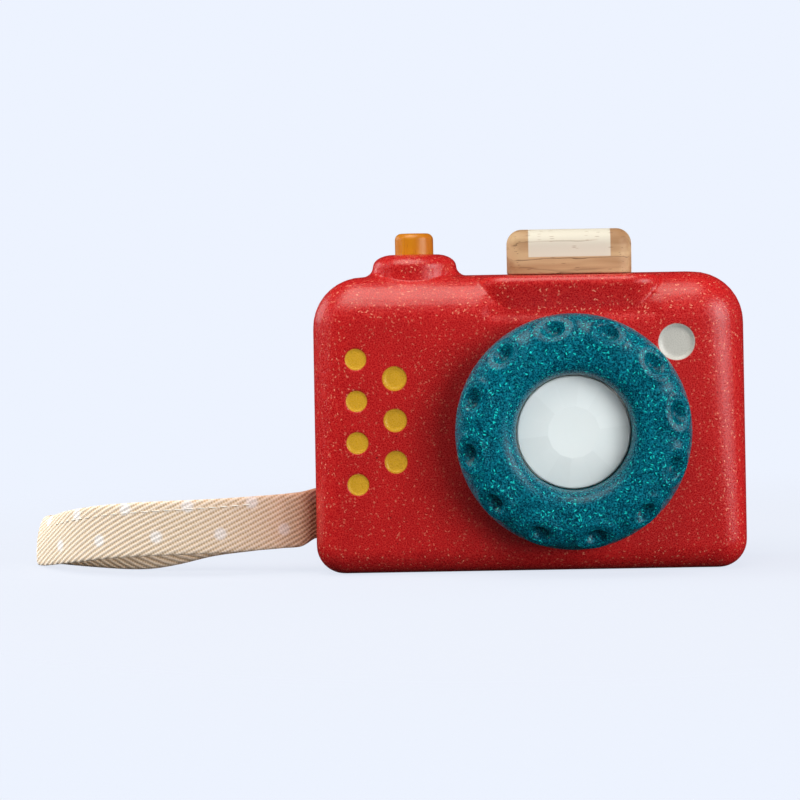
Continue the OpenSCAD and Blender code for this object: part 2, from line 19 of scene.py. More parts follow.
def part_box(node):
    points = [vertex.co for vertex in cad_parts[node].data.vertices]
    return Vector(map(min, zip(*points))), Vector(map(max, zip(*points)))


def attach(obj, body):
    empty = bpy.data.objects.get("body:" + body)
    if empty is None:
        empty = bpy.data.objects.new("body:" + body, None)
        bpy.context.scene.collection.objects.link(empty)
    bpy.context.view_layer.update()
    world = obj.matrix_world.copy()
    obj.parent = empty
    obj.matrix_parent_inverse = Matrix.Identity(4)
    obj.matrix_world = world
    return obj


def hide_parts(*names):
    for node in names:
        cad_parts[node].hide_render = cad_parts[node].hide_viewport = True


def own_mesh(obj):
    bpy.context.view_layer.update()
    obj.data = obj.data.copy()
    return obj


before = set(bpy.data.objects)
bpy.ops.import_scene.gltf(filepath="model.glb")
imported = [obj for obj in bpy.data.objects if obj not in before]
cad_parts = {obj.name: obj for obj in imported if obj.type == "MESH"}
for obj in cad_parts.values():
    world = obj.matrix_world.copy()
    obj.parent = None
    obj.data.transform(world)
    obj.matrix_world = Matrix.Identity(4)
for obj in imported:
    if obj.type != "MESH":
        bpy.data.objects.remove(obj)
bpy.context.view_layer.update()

LOG = logging.getLogger("toy_camera")
MM = 0.001
PAINT_EDGE = 0.1

Tree = bpy.types.NodeTree
Socket = bpy.types.NodeSocket
Outputs = bpy.types.NodeOutputs


class Body(str, Enum):
    """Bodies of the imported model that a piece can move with."""

    CAMERA = "camera_body"
    LENS = "lens_group"
    SHUTTER = "shutter"


class Grain(Enum):
    """Direction in which the fibres of a wooden piece run."""

    ALONG_X = 0
    ALONG_Z = 2


def to_linear(code: str) -> tuple[float, float, float, float]:
    """Turns an sRGB hex colour into linear light.

    Args:
        code: Six hex digits after a hash sign.

    Returns:
        Red, green and blue in linear light, and an alpha of one.
    """
    parts = [int(code[i:i + 2], 16) / 255 for i in (1, 3, 5)]
    light = [c / 12.92 if c <= 0.04045 else ((c + 0.055) / 1.055) ** 2.4 for c in parts]
    return (*light, 1.0)


def set_node(tree: Tree, node: bpy.types.Node, settings: dict) -> None:
    """Sets and links a node.

    Args:
        tree: Node tree of the node.
        node: The node.
        settings: Values, hex colours or outputs of other nodes, by property name or by the name
            or number of an input.
    """
    for key, value in settings.items():
        if isinstance(key, str) and key in node.bl_rna.properties:
            setattr(node, key, value)
        elif isinstance(value, Socket):
            tree.links.new(value, node.inputs[key])
        else:
            node.inputs[key].default_value = to_linear(value) if isinstance(value, str) else value


def add_node(tree: Tree, kind: str, settings: dict | None = None) -> Outputs:
    """Adds a node with its settings and links.

    Args:
        tree: Node tree that gets the node.
        kind: Blender's name for the kind of node, without ShaderNode before it.
        settings: What set_node takes.

    Returns:
        The outputs of the new node.
    """
    node = tree.nodes.new("ShaderNode" + kind)
    set_node(tree, node, settings or {})
    return node.outputs


def start_material(name: str) -> tuple[bpy.types.Material, Tree, bpy.types.Node, Socket]:
    """Makes a material with one plain surface shader.

    Args:
        name: Name of the material.

    Returns:
        The material, its node tree, its shader and the object's coordinates.
    """
    material = bpy.data.materials.new(name)
    material.use_nodes = True
    tree = material.node_tree
    coords = add_node(tree, "TexCoord")["Object"]
    return material, tree, tree.nodes["Principled BSDF"], coords


@dataclass(frozen=True)
class PaintSpots:
    """Round spots of brush paint in recesses of the front face.

    Attributes:
        colour: Colour of the paint.
        places: Each spot's place across, height above the base and radius, in mm.
        depth: How far behind the front face the paint reaches, in mm.
    """

    colour: str
    places: tuple[tuple[float, float, float], ...]
    depth: float


@dataclass(frozen=True)
class FibreMoulding:
    """Wood fibre, dyed and pressed in a mould: satin, with pale fibres that took less dye.

    Attributes:
        name: Name of the material.
        ground: Colour of most of the surface.
        deep: Colour of the darker clouds.
        light: Colour of the fine pale grain.
        dark: Colour of the fine dark grain.
        fleck: Colour of the longer undyed fibres.
        speck: Colour of the few dark specks.
        grain: Size of the fine grain, in mm.
        fleck_length: Length of the cell that holds one long fibre, in mm.
        fleck_width: Width of that cell, in mm.
        fleck_share: Share of the cells that hold a fibre.
        gloss: Strength of its mirror reflection.
        paint: Painted recesses in this moulding.
    """

    name: str
    ground: str
    deep: str
    light: str
    dark: str
    fleck: str
    speck: str
    grain: float
    fleck_length: float
    fleck_width: float
    fleck_share: float
    gloss: float = 0.5
    paint: tuple[PaintSpots, ...] = ()

    CLOUD = 9.0
    CLOUD_RAMP = {1: 0.35, 2: 0.65}
    PALE_RAMP = {1: 0.5, 2: 0.66}
    DARK_RAMP = {1: 0.34, 2: 0.5, 3: 1.0, 4: 0.0}
    SPECK_CELL = 7.0
    SPECK_RAMP = {1: 0.025, 2: 0.05, 3: 0.8, 4: 0.0}
    FLECK_RAMP = {1: 0.2, 2: 0.36, 3: 0.9, 4: 0.0}
    PALENESS_RAMP = {3: 0.15, 4: 1.0}
    GLOSS_RAMP = {1: 0.3, 2: 0.7, 3: 0.2, 4: 0.4}
    TURNS = (18.0, 74.0, 139.0)
    RELIEF = {"Strength": 0.5, "Distance": 0.12 * MM}

    def material(self) -> bpy.types.Material:
        """Builds the fibre's nodes and returns the material."""
        material, tree, shader, coords = start_material(self.name)
        colour, grain = self.ground_colour(tree, coords)
        speck = add_node(
            tree, "TexVoronoi", {"Scale": 1 / (self.SPECK_CELL * MM), "Vector": coords}
        )["Distance"]
        masks = [(self.fibre_mask(tree, coords, turn), self.fleck) for turn in self.TURNS]
        masks.append((add_node(tree, "MapRange", {0: speck, **self.SPECK_RAMP})[0], self.speck))
        masks += [(self.paint_mask(tree, coords, spots), spots.colour) for spots in self.paint]
        for mask, over in masks:
            colour = add_node(tree, "Mix", {"data_type": "RGBA", 0: mask, 6: colour, 7: over})[2]
        set_node(tree, shader, {
            "Base Color": colour,
            "Roughness": add_node(tree, "MapRange", {0: grain, **self.GLOSS_RAMP})[0],
            "Normal": add_node(tree, "Bump", {"Height": grain, **self.RELIEF})[0],
            "Specular IOR Level": self.gloss,
        })
        return material

    def ground_colour(self, tree: Tree, coords: Socket) -> tuple[Socket, Socket]:
        """Makes the clouded ground with its fine pale and dark grain.

        Args:
            tree: Node tree of the material.
            coords: Object coordinates.

        Returns:
            The ground's colour, and the grain's height.
        """
        cloud = add_node(
            tree, "TexNoise", {"Scale": 1 / (self.CLOUD * MM), "Detail": 4.0, "Vector": coords}
        )[0]
        grain = add_node(tree, "TexNoise", {
            "Scale": 1 / (self.grain * MM), "Detail": 2.0, "Roughness": 0.6, "Vector": coords,
        })[0]
        colour = self.deep
        for source, ramp, over in (
            (cloud, self.CLOUD_RAMP, self.ground),
            (grain, self.PALE_RAMP, self.light),
            (grain, self.DARK_RAMP, self.dark),
        ):
            share = add_node(tree, "MapRange", {0: source, **ramp})[0]
            colour = add_node(tree, "Mix", {"data_type": "RGBA", 0: share, 6: colour, 7: over})[2]
        return colour, grain

    def fibre_mask(self, tree: Tree, coords: Socket, turn: float) -> Socket:
        """Scatters long fibres that lie in one direction.

        Args:
            tree: Node tree of the material.
            coords: Object coordinates.
            turn: Direction of the fibres on the front face, in degrees.

        Returns:
            One on a fibre and nought beside it.
        """
        placed = add_node(tree, "Mapping", {
            "vector_type": "TEXTURE", "Rotation": (0, math.radians(turn), 0), "Vector": coords,
            "Scale": (self.fleck_length * MM, self.fleck_width * MM, self.fleck_width * MM),
        })[0]
        cells = add_node(tree, "TexVoronoi", {"Scale": 1.0, "Vector": placed})
        near = add_node(tree, "MapRange", {0: cells["Distance"], **self.FLECK_RAMP})[0]
        chance = add_node(tree, "SeparateColor", {0: cells["Color"]})
        chosen = add_node(
            tree, "Math", {"operation": "LESS_THAN", 0: chance[0], 1: self.fleck_share}
        )[0]
        paleness = add_node(tree, "MapRange", {0: chance[1], **self.PALENESS_RAMP})[0]
        shown = add_node(tree, "Math", {"operation": "MULTIPLY", 0: chosen, 1: paleness})[0]
        return add_node(tree, "Math", {"operation": "MULTIPLY", 0: near, 1: shown})[0]

    @staticmethod
    def paint_mask(tree: Tree, coords: Socket, spots: PaintSpots) -> Socket:
        """Finds the painted floors of round recesses in the front face.

        Args:
            tree: Node tree of the material.
            coords: Object coordinates.
            spots: Places of the paint.

        Returns:
            One on the paint and nought beside it.
        """
        flat = add_node(tree, "VectorMath", {"operation": "MULTIPLY", 0: coords, 1: (1, 0, 1)})[0]
        nearest = None
        for x, z, radius in spots.places:
            middle = (x * MM, 0, z * MM)
            reach = add_node(
                tree, "VectorMath", {"operation": "DISTANCE", 0: flat, 1: middle}
            )["Value"]
            over = add_node(tree, "Math", {"operation": "SUBTRACT", 0: reach, 1: radius * MM})[0]
            if nearest is not None:
                over = add_node(tree, "Math", {"operation": "MINIMUM", 0: over, 1: nearest})[0]
            nearest = over
        soft = PAINT_EDGE * MM
        inside = add_node(tree, "MapRange", {0: nearest, 1: -soft, 2: soft, 3: 1.0, 4: 0.0})[0]
        back = add_node(tree, "SeparateXYZ", {0: coords})[1]
        deep = (Casing.front_y + spots.depth) * MM
        front = add_node(tree, "Math", {"operation": "LESS_THAN", 0: back, 1: deep})[0]
        return add_node(tree, "Math", {"operation": "MULTIPLY", 0: inside, 1: front})[0]


@dataclass(frozen=True)
class Wash:
    """A patch of thin white paint on wood that lets the grain show.

    Attributes:
        colour: Colour of the paint.
        low: Lowest corner of the patch, in mm.
        high: Highest corner of the patch, in mm.
        cover: How much of the wood the paint hides.
        mark_cover: How much of a growth line or pore it hides.
    """

    colour: str
    low: tuple[float, float, float]
    high: tuple[float, float, float]
    cover: float
    mark_cover: float = 0.3


@dataclass(frozen=True)
class SandedWood:
    """Fine-grained hardwood, sanded smooth: pale ground, brown growth lines and short pores.

    Attributes:
        name: Name of the material.
        pale: Colour of the early wood.
        tan: Colour of the late wood.
        line: Colour of the growth lines and pores.
        grain: Direction of the fibres.
        ring: Distance between growth lines, in mm.
        roughness: Roughness of the finish.
        wash: Patch of thin paint, if there is one.
    """

    name: str
    pale: str
    tan: str
    line: str
    grain: Grain
    ring: float
    roughness: float
    wash: Wash | None = None

    CLOUD = (38.0, 4.0)
    CLOUD_RAMP = {1: 0.35, 2: 0.62}
    LINE = (30.0, 2.2)
    LINE_BEND = 2.4
    LINE_RAMP = {1: 0.0, 2: 0.13, 3: 0.9, 4: 0.0}
    GAP_RAMP = {1: 0.42, 2: 0.6}
    PORE = (3.2, 0.4)
    PORE_RAMP = {1: 0.12, 2: 0.28, 3: 0.6, 4: 0.0}
    PORE_SHARE = 0.3
    RELIEF = {"invert": True, "Strength": 0.4, "Distance": 0.06 * MM}

    def stretched(self, along: float, across: float) -> list[float]:
        """Gives a pattern's size in metres, long along the grain and short across it."""
        sizes = [across * MM] * 3
        sizes[self.grain.value] = along * MM
        return sizes

    def material(self) -> bpy.types.Material:
        """Builds the wood's nodes and returns the material."""
        material, tree, shader, coords = start_material(self.name)
        slow = add_node(tree, "Mapping", {
            "vector_type": "TEXTURE", "Scale": self.stretched(*self.CLOUD), "Vector": coords,
        })[0]
        drift = add_node(tree, "TexNoise", {"Scale": 1.0, "Detail": 3.0, "Vector": slow})[0]
        cloud = add_node(tree, "MapRange", {0: drift, **self.CLOUD_RAMP})[0]
        marks = self.marks(tree, coords, drift)
        masks = [(cloud, self.pale), (marks, self.line)]
        if self.wash:
            masks.append((self.wash_mask(tree, coords, marks), self.wash.colour))
        colour = self.tan
        for mask, over in masks:
            colour = add_node(tree, "Mix", {"data_type": "RGBA", 0: mask, 6: colour, 7: over})[2]
        set_node(tree, shader, {
            "Base Color": colour,
            "Normal": add_node(tree, "Bump", {"Height": marks, **self.RELIEF})[0],
            "Roughness": self.roughness,
        })
        return material

    def marks(self, tree: Tree, coords: Socket, drift: Socket) -> Socket:
        """Draws growth lines and pores.

        Args:
            tree: Node tree of the material.
            coords: Object coordinates.
            drift: Slow noise that bends the lines.

        Returns:
            One on a mark and nought beside it.
        """
        height = add_node(tree, "SeparateXYZ", {0: coords})[0 if self.grain is Grain.ALONG_Z else 2]
        pitch = 1 / (self.ring * MM)
        rings = add_node(tree, "Math", {"operation": "MULTIPLY", 0: height, 1: pitch})[0]
        bent = add_node(
            tree, "Math", {"operation": "MULTIPLY_ADD", 0: drift, 1: self.LINE_BEND, 2: rings}
        )[0]
        saw = add_node(tree, "Math", {"operation": "FRACT", 0: bent})[0]
        line = add_node(tree, "MapRange", {0: saw, **self.LINE_RAMP})[0]
        long, fine = (
            add_node(tree, "Mapping", {
                "vector_type": "TEXTURE", "Scale": self.stretched(*sizes), "Vector": coords,
            })[0]
            for sizes in (self.LINE, self.PORE)
        )
        gaps = add_node(tree, "TexNoise", {"Scale": 1.0, "Detail": 2.0, "Vector": long})[0]
        gaps = add_node(tree, "MapRange", {0: gaps, **self.GAP_RAMP})[0]
        line = add_node(tree, "Math", {"operation": "MULTIPLY", 0: line, 1: gaps})[0]
        cells = add_node(tree, "TexVoronoi", {"Scale": 1.0, "Vector": fine})
        pore = add_node(tree, "MapRange", {0: cells["Distance"], **self.PORE_RAMP})[0]
        chance = add_node(tree, "SeparateColor", {0: cells["Color"]})[0]
        chosen = add_node(
            tree, "Math", {"operation": "LESS_THAN", 0: chance, 1: self.PORE_SHARE}
        )[0]
        pore = add_node(tree, "Math", {"operation": "MULTIPLY", 0: pore, 1: chosen})[0]
        return add_node(tree, "Math", {"operation": "MAXIMUM", 0: line, 1: pore})[0]

    def wash_mask(self, tree: Tree, coords: Socket, marks: Socket) -> Socket:
        """Finds where the thin white patch covers the wood.

        Args:
            tree: Node tree of the material.
            coords: Object coordinates.
            marks: Growth lines and pores, which show through.

        Returns:
            How much of the wood the patch hides.
        """
        low, high = Vector(self.wash.low) * MM, Vector(self.wash.high) * MM
        middle = (low + high) / 2
        offset = add_node(tree, "VectorMath", {"operation": "SUBTRACT", 0: coords, 1: middle})[0]
        reach = add_node(tree, "VectorMath", {"operation": "ABSOLUTE", 0: offset})[0]
        sides = add_node(tree, "SeparateXYZ", {0: reach})
        mask = add_node(tree, "MapRange", {
            0: marks, 1: 0.0, 2: 0.5, 3: self.wash.cover, 4: self.wash.mark_cover,
        })[0]
        soft = PAINT_EDGE * MM
        for side, half in zip(sides, (high - low) / 2):
            within = add_node(
                tree, "MapRange", {0: side, 1: half - soft, 2: half + soft, 3: 1.0, 4: 0.0}
            )[0]
            mask = add_node(tree, "Math", {"operation": "MULTIPLY", 0: within, 1: mask})[0]
        return mask


@dataclass(frozen=True)
class PlainFinish:
    """A smooth stock material with a fine unevenness in its colour and gloss.

    Attributes:
        name: Name of the material.
        colour: Main colour.
        shade: Colour of the uneven places.
        roughness: Roughness of the surface.
        metallic: One for a metal.
        unevenness: Size of the uneven places, in mm.
    """

    name: str
    colour: str
    shade: str
    roughness: float
    metallic: float = 0.0
    unevenness: float = 1.5

    GLOSS_DRIFT = 0.15

    def material(self) -> bpy.types.Material:
        """Builds the finish's nodes and returns the material."""
        material, tree, shader, coords = start_material(self.name)
        uneven = add_node(
            tree, "TexNoise", {"Scale": 1 / (self.unevenness * MM), "Detail": 3.0, "Vector": coords}
        )[0]
        low, high = (self.roughness * share for share in (1 - self.GLOSS_DRIFT, 1 + self.GLOSS_DRIFT))
        set_node(tree, shader, {
            "Base Color": add_node(
                tree, "Mix", {"data_type": "RGBA", 0: uneven, 6: self.shade, 7: self.colour}
            )[2],
            "Roughness": add_node(tree, "MapRange", {0: uneven, 3: low, 4: high})[0],
            "Metallic": self.metallic,
        })
        return material


@dataclass(frozen=True)
class ClearAcrylic:
    """Cast acrylic, moulded with facets: pale, glossy and a little milky, with painted light and
    shade that change from facet to facet.

    Attributes:
        name: Name of the material.
        colour: Colour of the painted highlight on the facets painted lightest.
        shade: Colour of the painted shade on the facets painted darkest.
        dust: Colour of the few specks in it.
        milk: Share of light that it scatters.
        scatter: How far light spreads in it, in mm.
    """

    name: str
    colour: str
    shade: str
    dust: str
    milk: float
    scatter: float

    IOR = 1.49
    ROUGHNESS = 0.12
    SPECK_CELL = 5.0
    SPECK_RAMP = {1: 0.02, 2: 0.05, 3: 0.5, 4: 0.0}

    def material(self) -> bpy.types.Material:
        """Builds the acrylic's nodes and returns the material."""
        material, tree, shader, coords = start_material(self.name)
        speck = add_node(
            tree, "TexVoronoi", {"Scale": 1 / (self.SPECK_CELL * MM), "Vector": coords}
        )["Distance"]
        speck = add_node(tree, "MapRange", {0: speck, **self.SPECK_RAMP})[0]
        # Painted light: each facet's share between its painted shade and its painted highlight.
        painted_light = add_node(tree, "Attribute", {"attribute_name": "facet_painted_light"})["Fac"]
        colour = self.shade
        for mask, over in ((painted_light, self.colour), (speck, self.dust)):
            colour = add_node(tree, "Mix", {"data_type": "RGBA", 0: mask, 6: colour, 7: over})[2]
        set_node(tree, shader, {
            "Base Color": colour,
            "Roughness": self.ROUGHNESS,
            "IOR": self.IOR,
            "Transmission Weight": 1.0 - self.milk,
            "Subsurface Weight": 1.0,
            "Subsurface Radius": (1.0, 1.0, 1.0),
            "Subsurface Scale": self.scatter * MM,
        })
        return material


@dataclass(frozen=True)
class CottonTwill:
    """Undyed cotton tape in a heavy twill: slanted ribs, with a print of small white dots, and
    painted shade between the ribs and next to the slot.

    Attributes:
        name: Name of the material.
        rib: Colour of the ribs.
        valley_shade: Colour between the ribs, which is painted shade.
        print_colour: Colour of the dots.
        painted_shade: Colour of the painted shade and painted red reflection of the body on the tape
            next to the slot.
        slant: Angle of the ribs to the tape's length, in degrees.
        pitch: Distance between ribs, in mm.
        yarn: Length of one yarn float along a rib, in mm.
        dot_pitch: Distance between dots of a row, in mm.
        dot_radius: Radius of a dot, in mm.
        dot_rows: Place across the tape and first place along it of each row, in mm.
    """

    name: str
    rib: str
    valley_shade: str
    print_colour: str
    painted_shade: str
    slant: float
    pitch: float
    yarn: float
    dot_pitch: float
    dot_radius: float
    dot_rows: tuple[tuple[float, float], ...]

    FLUFF = 0.6
    FLUFF_SHARE = 0.5
    YARN_SHARE = 0.55
    SHADE_RAMP = {1: 0.3, 2: 1.25}
    DOT_EDGE = 0.4
    DOT_RAMP = {1: 0.0, 2: 0.5, 3: 0.55, 4: 0.97}
    RELIEF = {"Strength": 0.6, "Distance": 0.12 * MM}
    CLOTH = {
        "Roughness": 0.9, "Specular IOR Level": 0.2, "Sheen Weight": 0.15, "Sheen Roughness": 0.5,
    }

    def material(self) -> bpy.types.Material:
        """Builds the twill's nodes and returns the material."""
        material, tree, shader, coords = start_material(self.name)
        run, across, painted_shade_share = (
            add_node(tree, "Attribute", {"attribute_name": name})["Fac"]
            for name in ("tape_run", "tape_across", "tape_painted_shade")
        )
        sine, cosine = math.sin(math.radians(self.slant)), math.cos(math.radians(self.slant))
        rib = self.waves(tree, run, across, (-sine, cosine), self.pitch)
        yarn = self.waves(tree, run, across, (cosine, sine), self.yarn)
        fluff = add_node(
            tree, "TexNoise", {"Scale": 1 / (self.FLUFF * MM), "Detail": 3.0, "Vector": coords}
        )[0]
        weave = rib
        for layer, share in ((yarn, self.YARN_SHARE), (fluff, self.FLUFF_SHARE)):
            weave = add_node(
                tree, "Math", {"operation": "MULTIPLY_ADD", 0: layer, 1: share, 2: weave}
            )[0]
        shade = add_node(tree, "MapRange", {0: weave, **self.SHADE_RAMP})[0]
        # The valley colour is painted shade between the ribs; the ribs get the lit colour.
        colour = self.valley_shade
        for mask, over, how in (
            (shade, self.rib, "MIX"),
            (self.dots(tree, run, across, shade), self.print_colour, "MIX"),
            # Painted shade and painted red reflection of the body, strongest next to the slot.
            (painted_shade_share, self.painted_shade, "MULTIPLY"),
        ):
            colour = add_node(tree, "Mix", {
                "data_type": "RGBA", "blend_type": how, 0: mask, 6: colour, 7: over,
            })[2]
        set_node(tree, shader, {
            "Base Color": colour,
            "Normal": add_node(tree, "Bump", {"Height": weave, **self.RELIEF})[0],
            **self.CLOTH,
        })
        return material

    @staticmethod
    def waves(
        tree: Tree, run: Socket, across: Socket, way: tuple[float, float], pitch: float
    ) -> Socket:
        """Makes straight waves on the flat tape.

        Args:
            tree: Node tree of the material.
            run: Place along the tape, in mm.
            across: Place across the tape, in mm.
            way: How fast the wave grows along and across the tape.
            pitch: Distance between crests, in mm.

        Returns:
            A wave from nought to one.
        """
        by_run, by_across = (share * math.tau / pitch for share in way)
        part = add_node(tree, "Math", {"operation": "MULTIPLY", 0: run, 1: by_run})[0]
        phase = add_node(
            tree, "Math", {"operation": "MULTIPLY_ADD", 0: across, 1: by_across, 2: part}
        )[0]
        wave = add_node(tree, "Math", {"operation": "COSINE", 0: phase})[0]
        return add_node(tree, "Math", {"operation": "MULTIPLY_ADD", 0: wave, 1: 0.5, 2: 0.5})[0]

    def dots(self, tree: Tree, run: Socket, across: Socket, shade: Socket) -> Socket:
        """Prints rows of round dots, thinner between the ribs.

        Args:
            tree: Node tree of the material.
            run: Place along the tape, in mm.
            across: Place across the tape, in mm.
            shade: One on a rib and nought between ribs.

        Returns:
            One on a dot and nought beside it.
        """
        half = self.dot_pitch / 2
        low, high = self.dot_radius - self.DOT_EDGE, self.dot_radius + self.DOT_EDGE
        mask = None
        for place, first in self.dot_rows:
            moved = add_node(tree, "Math", {"operation": "SUBTRACT", 0: run, 1: first})[0]
            along = add_node(tree, "Math", {"operation": "WRAP", 0: moved, 1: half, 2: -half})[0]
            aside = add_node(tree, "Math", {"operation": "SUBTRACT", 0: across, 1: place})[0]
            spot = add_node(tree, "CombineXYZ", {0: along, 1: aside})[0]
            reach = add_node(tree, "VectorMath", {"operation": "LENGTH", 0: spot})["Value"]
            dot = add_node(tree, "MapRange", {0: reach, 1: low, 2: high, 3: 1.0, 4: 0.0})[0]
            if mask is not None:
                dot = add_node(tree, "Math", {"operation": "MAXIMUM", 0: dot, 1: mask})[0]
            mask = dot
        thick = add_node(tree, "MapRange", {0: shade, **self.DOT_RAMP})[0]
        return add_node(tree, "Math", {"operation": "MULTIPLY", 0: mask, 1: thick})[0]


def select_only(piece: bpy.types.Object) -> None:
    """Makes a piece the only selected one, and the active one."""
    bpy.ops.object.select_all(action="DESELECT")
    piece.select_set(True)
    bpy.context.view_layer.objects.active = piece


def link(name: str, data: bpy.types.ID) -> bpy.types.Object:
    """Puts a mesh, a light or a camera into the scene and returns its object."""
    thing = bpy.data.objects.new(name, data)
    bpy.context.scene.collection.objects.link(thing)
    return thing


def apply_modifier(piece: bpy.types.Object, kind: str, **settings: object) -> None:
    """Adds a modifier to a piece and applies it.

    Args:
        piece: Piece that is changed.
        kind: Blender's name for the modifier.
        settings: Properties of the modifier.
    """
    select_only(piece)
    modifier = piece.modifiers.new(kind.lower(), kind)
    for name, value in settings.items():
        setattr(modifier, name, value)
    bpy.ops.object.modifier_apply(modifier=modifier.name)


def merge_points(piece: bpy.types.Object, reach: float = 0.0, turn_out: bool = True) -> None:
    """Merges a piece's points and turns its faces outwards.

    Args:
        piece: Piece that is changed.
        reach: Distance under which points merge, in mm; nought merges none.
        turn_out: Whether the faces are turned.
    """
    select_only(piece)
    bpy.ops.object.mode_set(mode="EDIT")
    bpy.ops.mesh.select_all(action="SELECT")
    if reach:
        bpy.ops.mesh.remove_doubles(threshold=reach * MM)
    if turn_out:
        bpy.ops.mesh.normals_make_consistent(inside=False)
    bpy.ops.object.mode_set(mode="OBJECT")


def knit(name: str, points: list, faces: list) -> bpy.types.Object:
    """Makes a smooth piece from points in metres and faces."""
    mesh = bpy.data.meshes.new(name)
    mesh.from_pydata(points, [], faces)
    piece = link(name, mesh)
    merge_points(piece)
    bpy.ops.object.shade_smooth()
    return piece


def read_points(mesh: bpy.types.Mesh) -> list[np.ndarray]:
    """Gives a mesh's points and their normals, as rows of three."""
    rows = [np.empty(len(mesh.vertices) * 3, np.float32) for _ in range(2)]
    for name, values in zip(("co", "normal"), rows):
        mesh.vertices.foreach_get(name, values)
    return [values.reshape(-1, 3) for values in rows]


def write_points(mesh: bpy.types.Mesh, place: np.ndarray) -> None:
    """Moves a mesh's points to new places."""
    mesh.vertices.foreach_set("co", place.astype(np.float32).ravel())
    mesh.update()


def soft_copy(node: str, name: str, voxel: float, rounds: int, keep: float) -> bpy.types.Object:
    """Copies a CAD node as one skin with softly rounded edges, as a pressed or sanded piece has.

    Args:
        node: Name of the CAD node.
        name: Name of the new piece.
        voxel: Size of the skin's cells, in mm.
        rounds: Rounds of smoothing.
        keep: Share of the triangles that stays; flat places lose the most.

    Returns:
        The new piece.
    """
    piece = link(name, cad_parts[node].data.copy())
    merge_points(piece, 0.001, turn_out=False)
    apply_modifier(piece, "REMESH", mode="VOXEL", voxel_size=voxel * MM)
    apply_modifier(piece, "SMOOTH", factor=0.5, iterations=rounds)
    if keep < 1:
        apply_modifier(piece, "DECIMATE", ratio=keep)
    bpy.ops.object.shade_smooth()
    return piece


def settle(
    piece: bpy.types.Object,
    body: Body,
    material: bpy.types.Material,
    nodes: tuple[str, ...] = (),
) -> None:
    """Gives a finished piece its material, its body and the nodes that it stands for.

    Args:
        piece: New piece, in its place.
        body: Body that it moves with.
        material: Its material.
        nodes: CAD nodes that it replaces.
    """
    piece.data.materials.clear()
    piece.data.materials.append(material)
    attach(piece, body.value)
    if nodes:
        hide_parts(*nodes)
    LOG.info("%s: %d faces on %s", piece.name, len(piece.data.polygons), body.value)


def dress(node: str, material: bpy.types.Material) -> None:
    """Gives a CAD node that stays as it is its material."""
    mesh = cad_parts[node].data
    mesh.materials.clear()
    mesh.materials.append(material)
    LOG.info("%s: kept as packed", node)


# Fibre dyed red all through: a satin skin with flecks that took less dye.
RED_FIBRE = FibreMoulding(
    name="red pressed wood fibre",
    ground="#bb191b", deep="#af1518", light="#c92c26", dark="#a31117", fleck="#ee9a7c",
    speck="#4a0f12", grain=0.4, fleck_length=1.3, fleck_width=0.55, fleck_share=0.13, gloss=0.7,
    paint=(
        PaintSpots("#d09f27", tuple(
            (-46.9 + 10.4 * column, 59.1 - 11.35 * row - 5.35 * column, radius)
            for column, row, radius in (
                (0, 0, 2.9), (0, 1, 2.88), (0, 2, 2.98), (0, 3, 2.93),
                (1, 0, 3.33), (1, 1, 3.17), (1, 2, 3.08),
            )
        ), depth=1.2),
        PaintSpots("#bdbcb5", ((40.0, 62.4, 4.95),), depth=2.2),
    ),
)
# The same stock dyed teal: duller, with more and brighter flecks.
TEAL_FIBRE = FibreMoulding(
    name="teal pressed wood fibre",
    ground="#004f63", deep="#004254", light="#007d90", dark="#002a3a", fleck="#1cd6cc",
    speck="#00303c", grain=0.42, fleck_length=1.5, fleck_width=0.55, fleck_share=0.2, gloss=0.3,
)
# The cover is the shell's fibre, without paint.
COVER_FIBRE = replace(RED_FIBRE, name="red pressed wood fibre of the cover", paint=())
# Bare sanded wood: brown lines, broken along the grain, and a chalky patch.
BLOCK_WOOD = SandedWood(
    name="sanded rubberwood", pale="#c0a37c", tan="#9c7652", line="#4a2c18",
    grain=Grain.ALONG_X, ring=3.6, roughness=0.55,
    wash=Wash("#d2d0c2", low=(0.4, -9.0, 85.9), high=(22.9, 4.0, 96.0), cover=0.88),
)
# The same wood in the hidden pieces: paler and more even.
PLAIN_WOOD = SandedWood(
    name="plain rubberwood", pale="#e8cfa6", tan="#d3b084", line="#8a5a35",
    grain=Grain.ALONG_Z, ring=2.5, roughness=0.6,
)
# Dowel in a yellow stain: close darker lines under a low sheen.
BUTTON_WOOD = SandedWood(
    name="yellow stained dowel", pale="#c47c14", tan="#b06412", line="#8c480f",
    grain=Grain.ALONG_Z, ring=0.9, roughness=0.3,
)
# Drawn wire and stamped plate: bright, with a faint grey drift.
STEEL = PlainFinish("bright steel", "#c3c7cc", "#a9adb3", 0.3, metallic=1.0)
# Moulded tube: off-white and half matt.
IVORY = PlainFinish("ivory polystyrene", "#f0eee6", "#e8e5da", 0.5)
# Punched washer: brown and dull.
FIBRE_BOARD = PlainFinish("brown fibre board", "#6b4a35", "#5a3d2b", 0.8)
# Cast plate: pale and glossy, with a cool milky body and a few specks, and painted light and shade
# from facet to facet.
LENS_ACRYLIC = ClearAcrylic(
    "clear acrylic", "#dfe6e7", "#d8dfe0", "#8b8f8c", milk=0.95, scatter=0.4,
)
# Undyed tape: warm slanted ribs with painted shade between them, matt, with a soft white print, and
# painted shade and red reflection next to the body.
TAPE_COTTON = CottonTwill(
    name="cotton twill tape", rib="#fbeedb", valley_shade="#d0b48c", print_colour="#fbf9f6",
    painted_shade="#b88474",
    slant=24.5, pitch=1.3, yarn=0.75, dot_pitch=17.5, dot_radius=1.65,
    dot_rows=((-2.2, 5.9), (5.9, 14.65)),
)
# Twisted thread: white and matt.
THREAD = PlainFinish("white sewing thread", "#f4f1ea", "#ddd6c8", 0.75, unevenness=0.4)


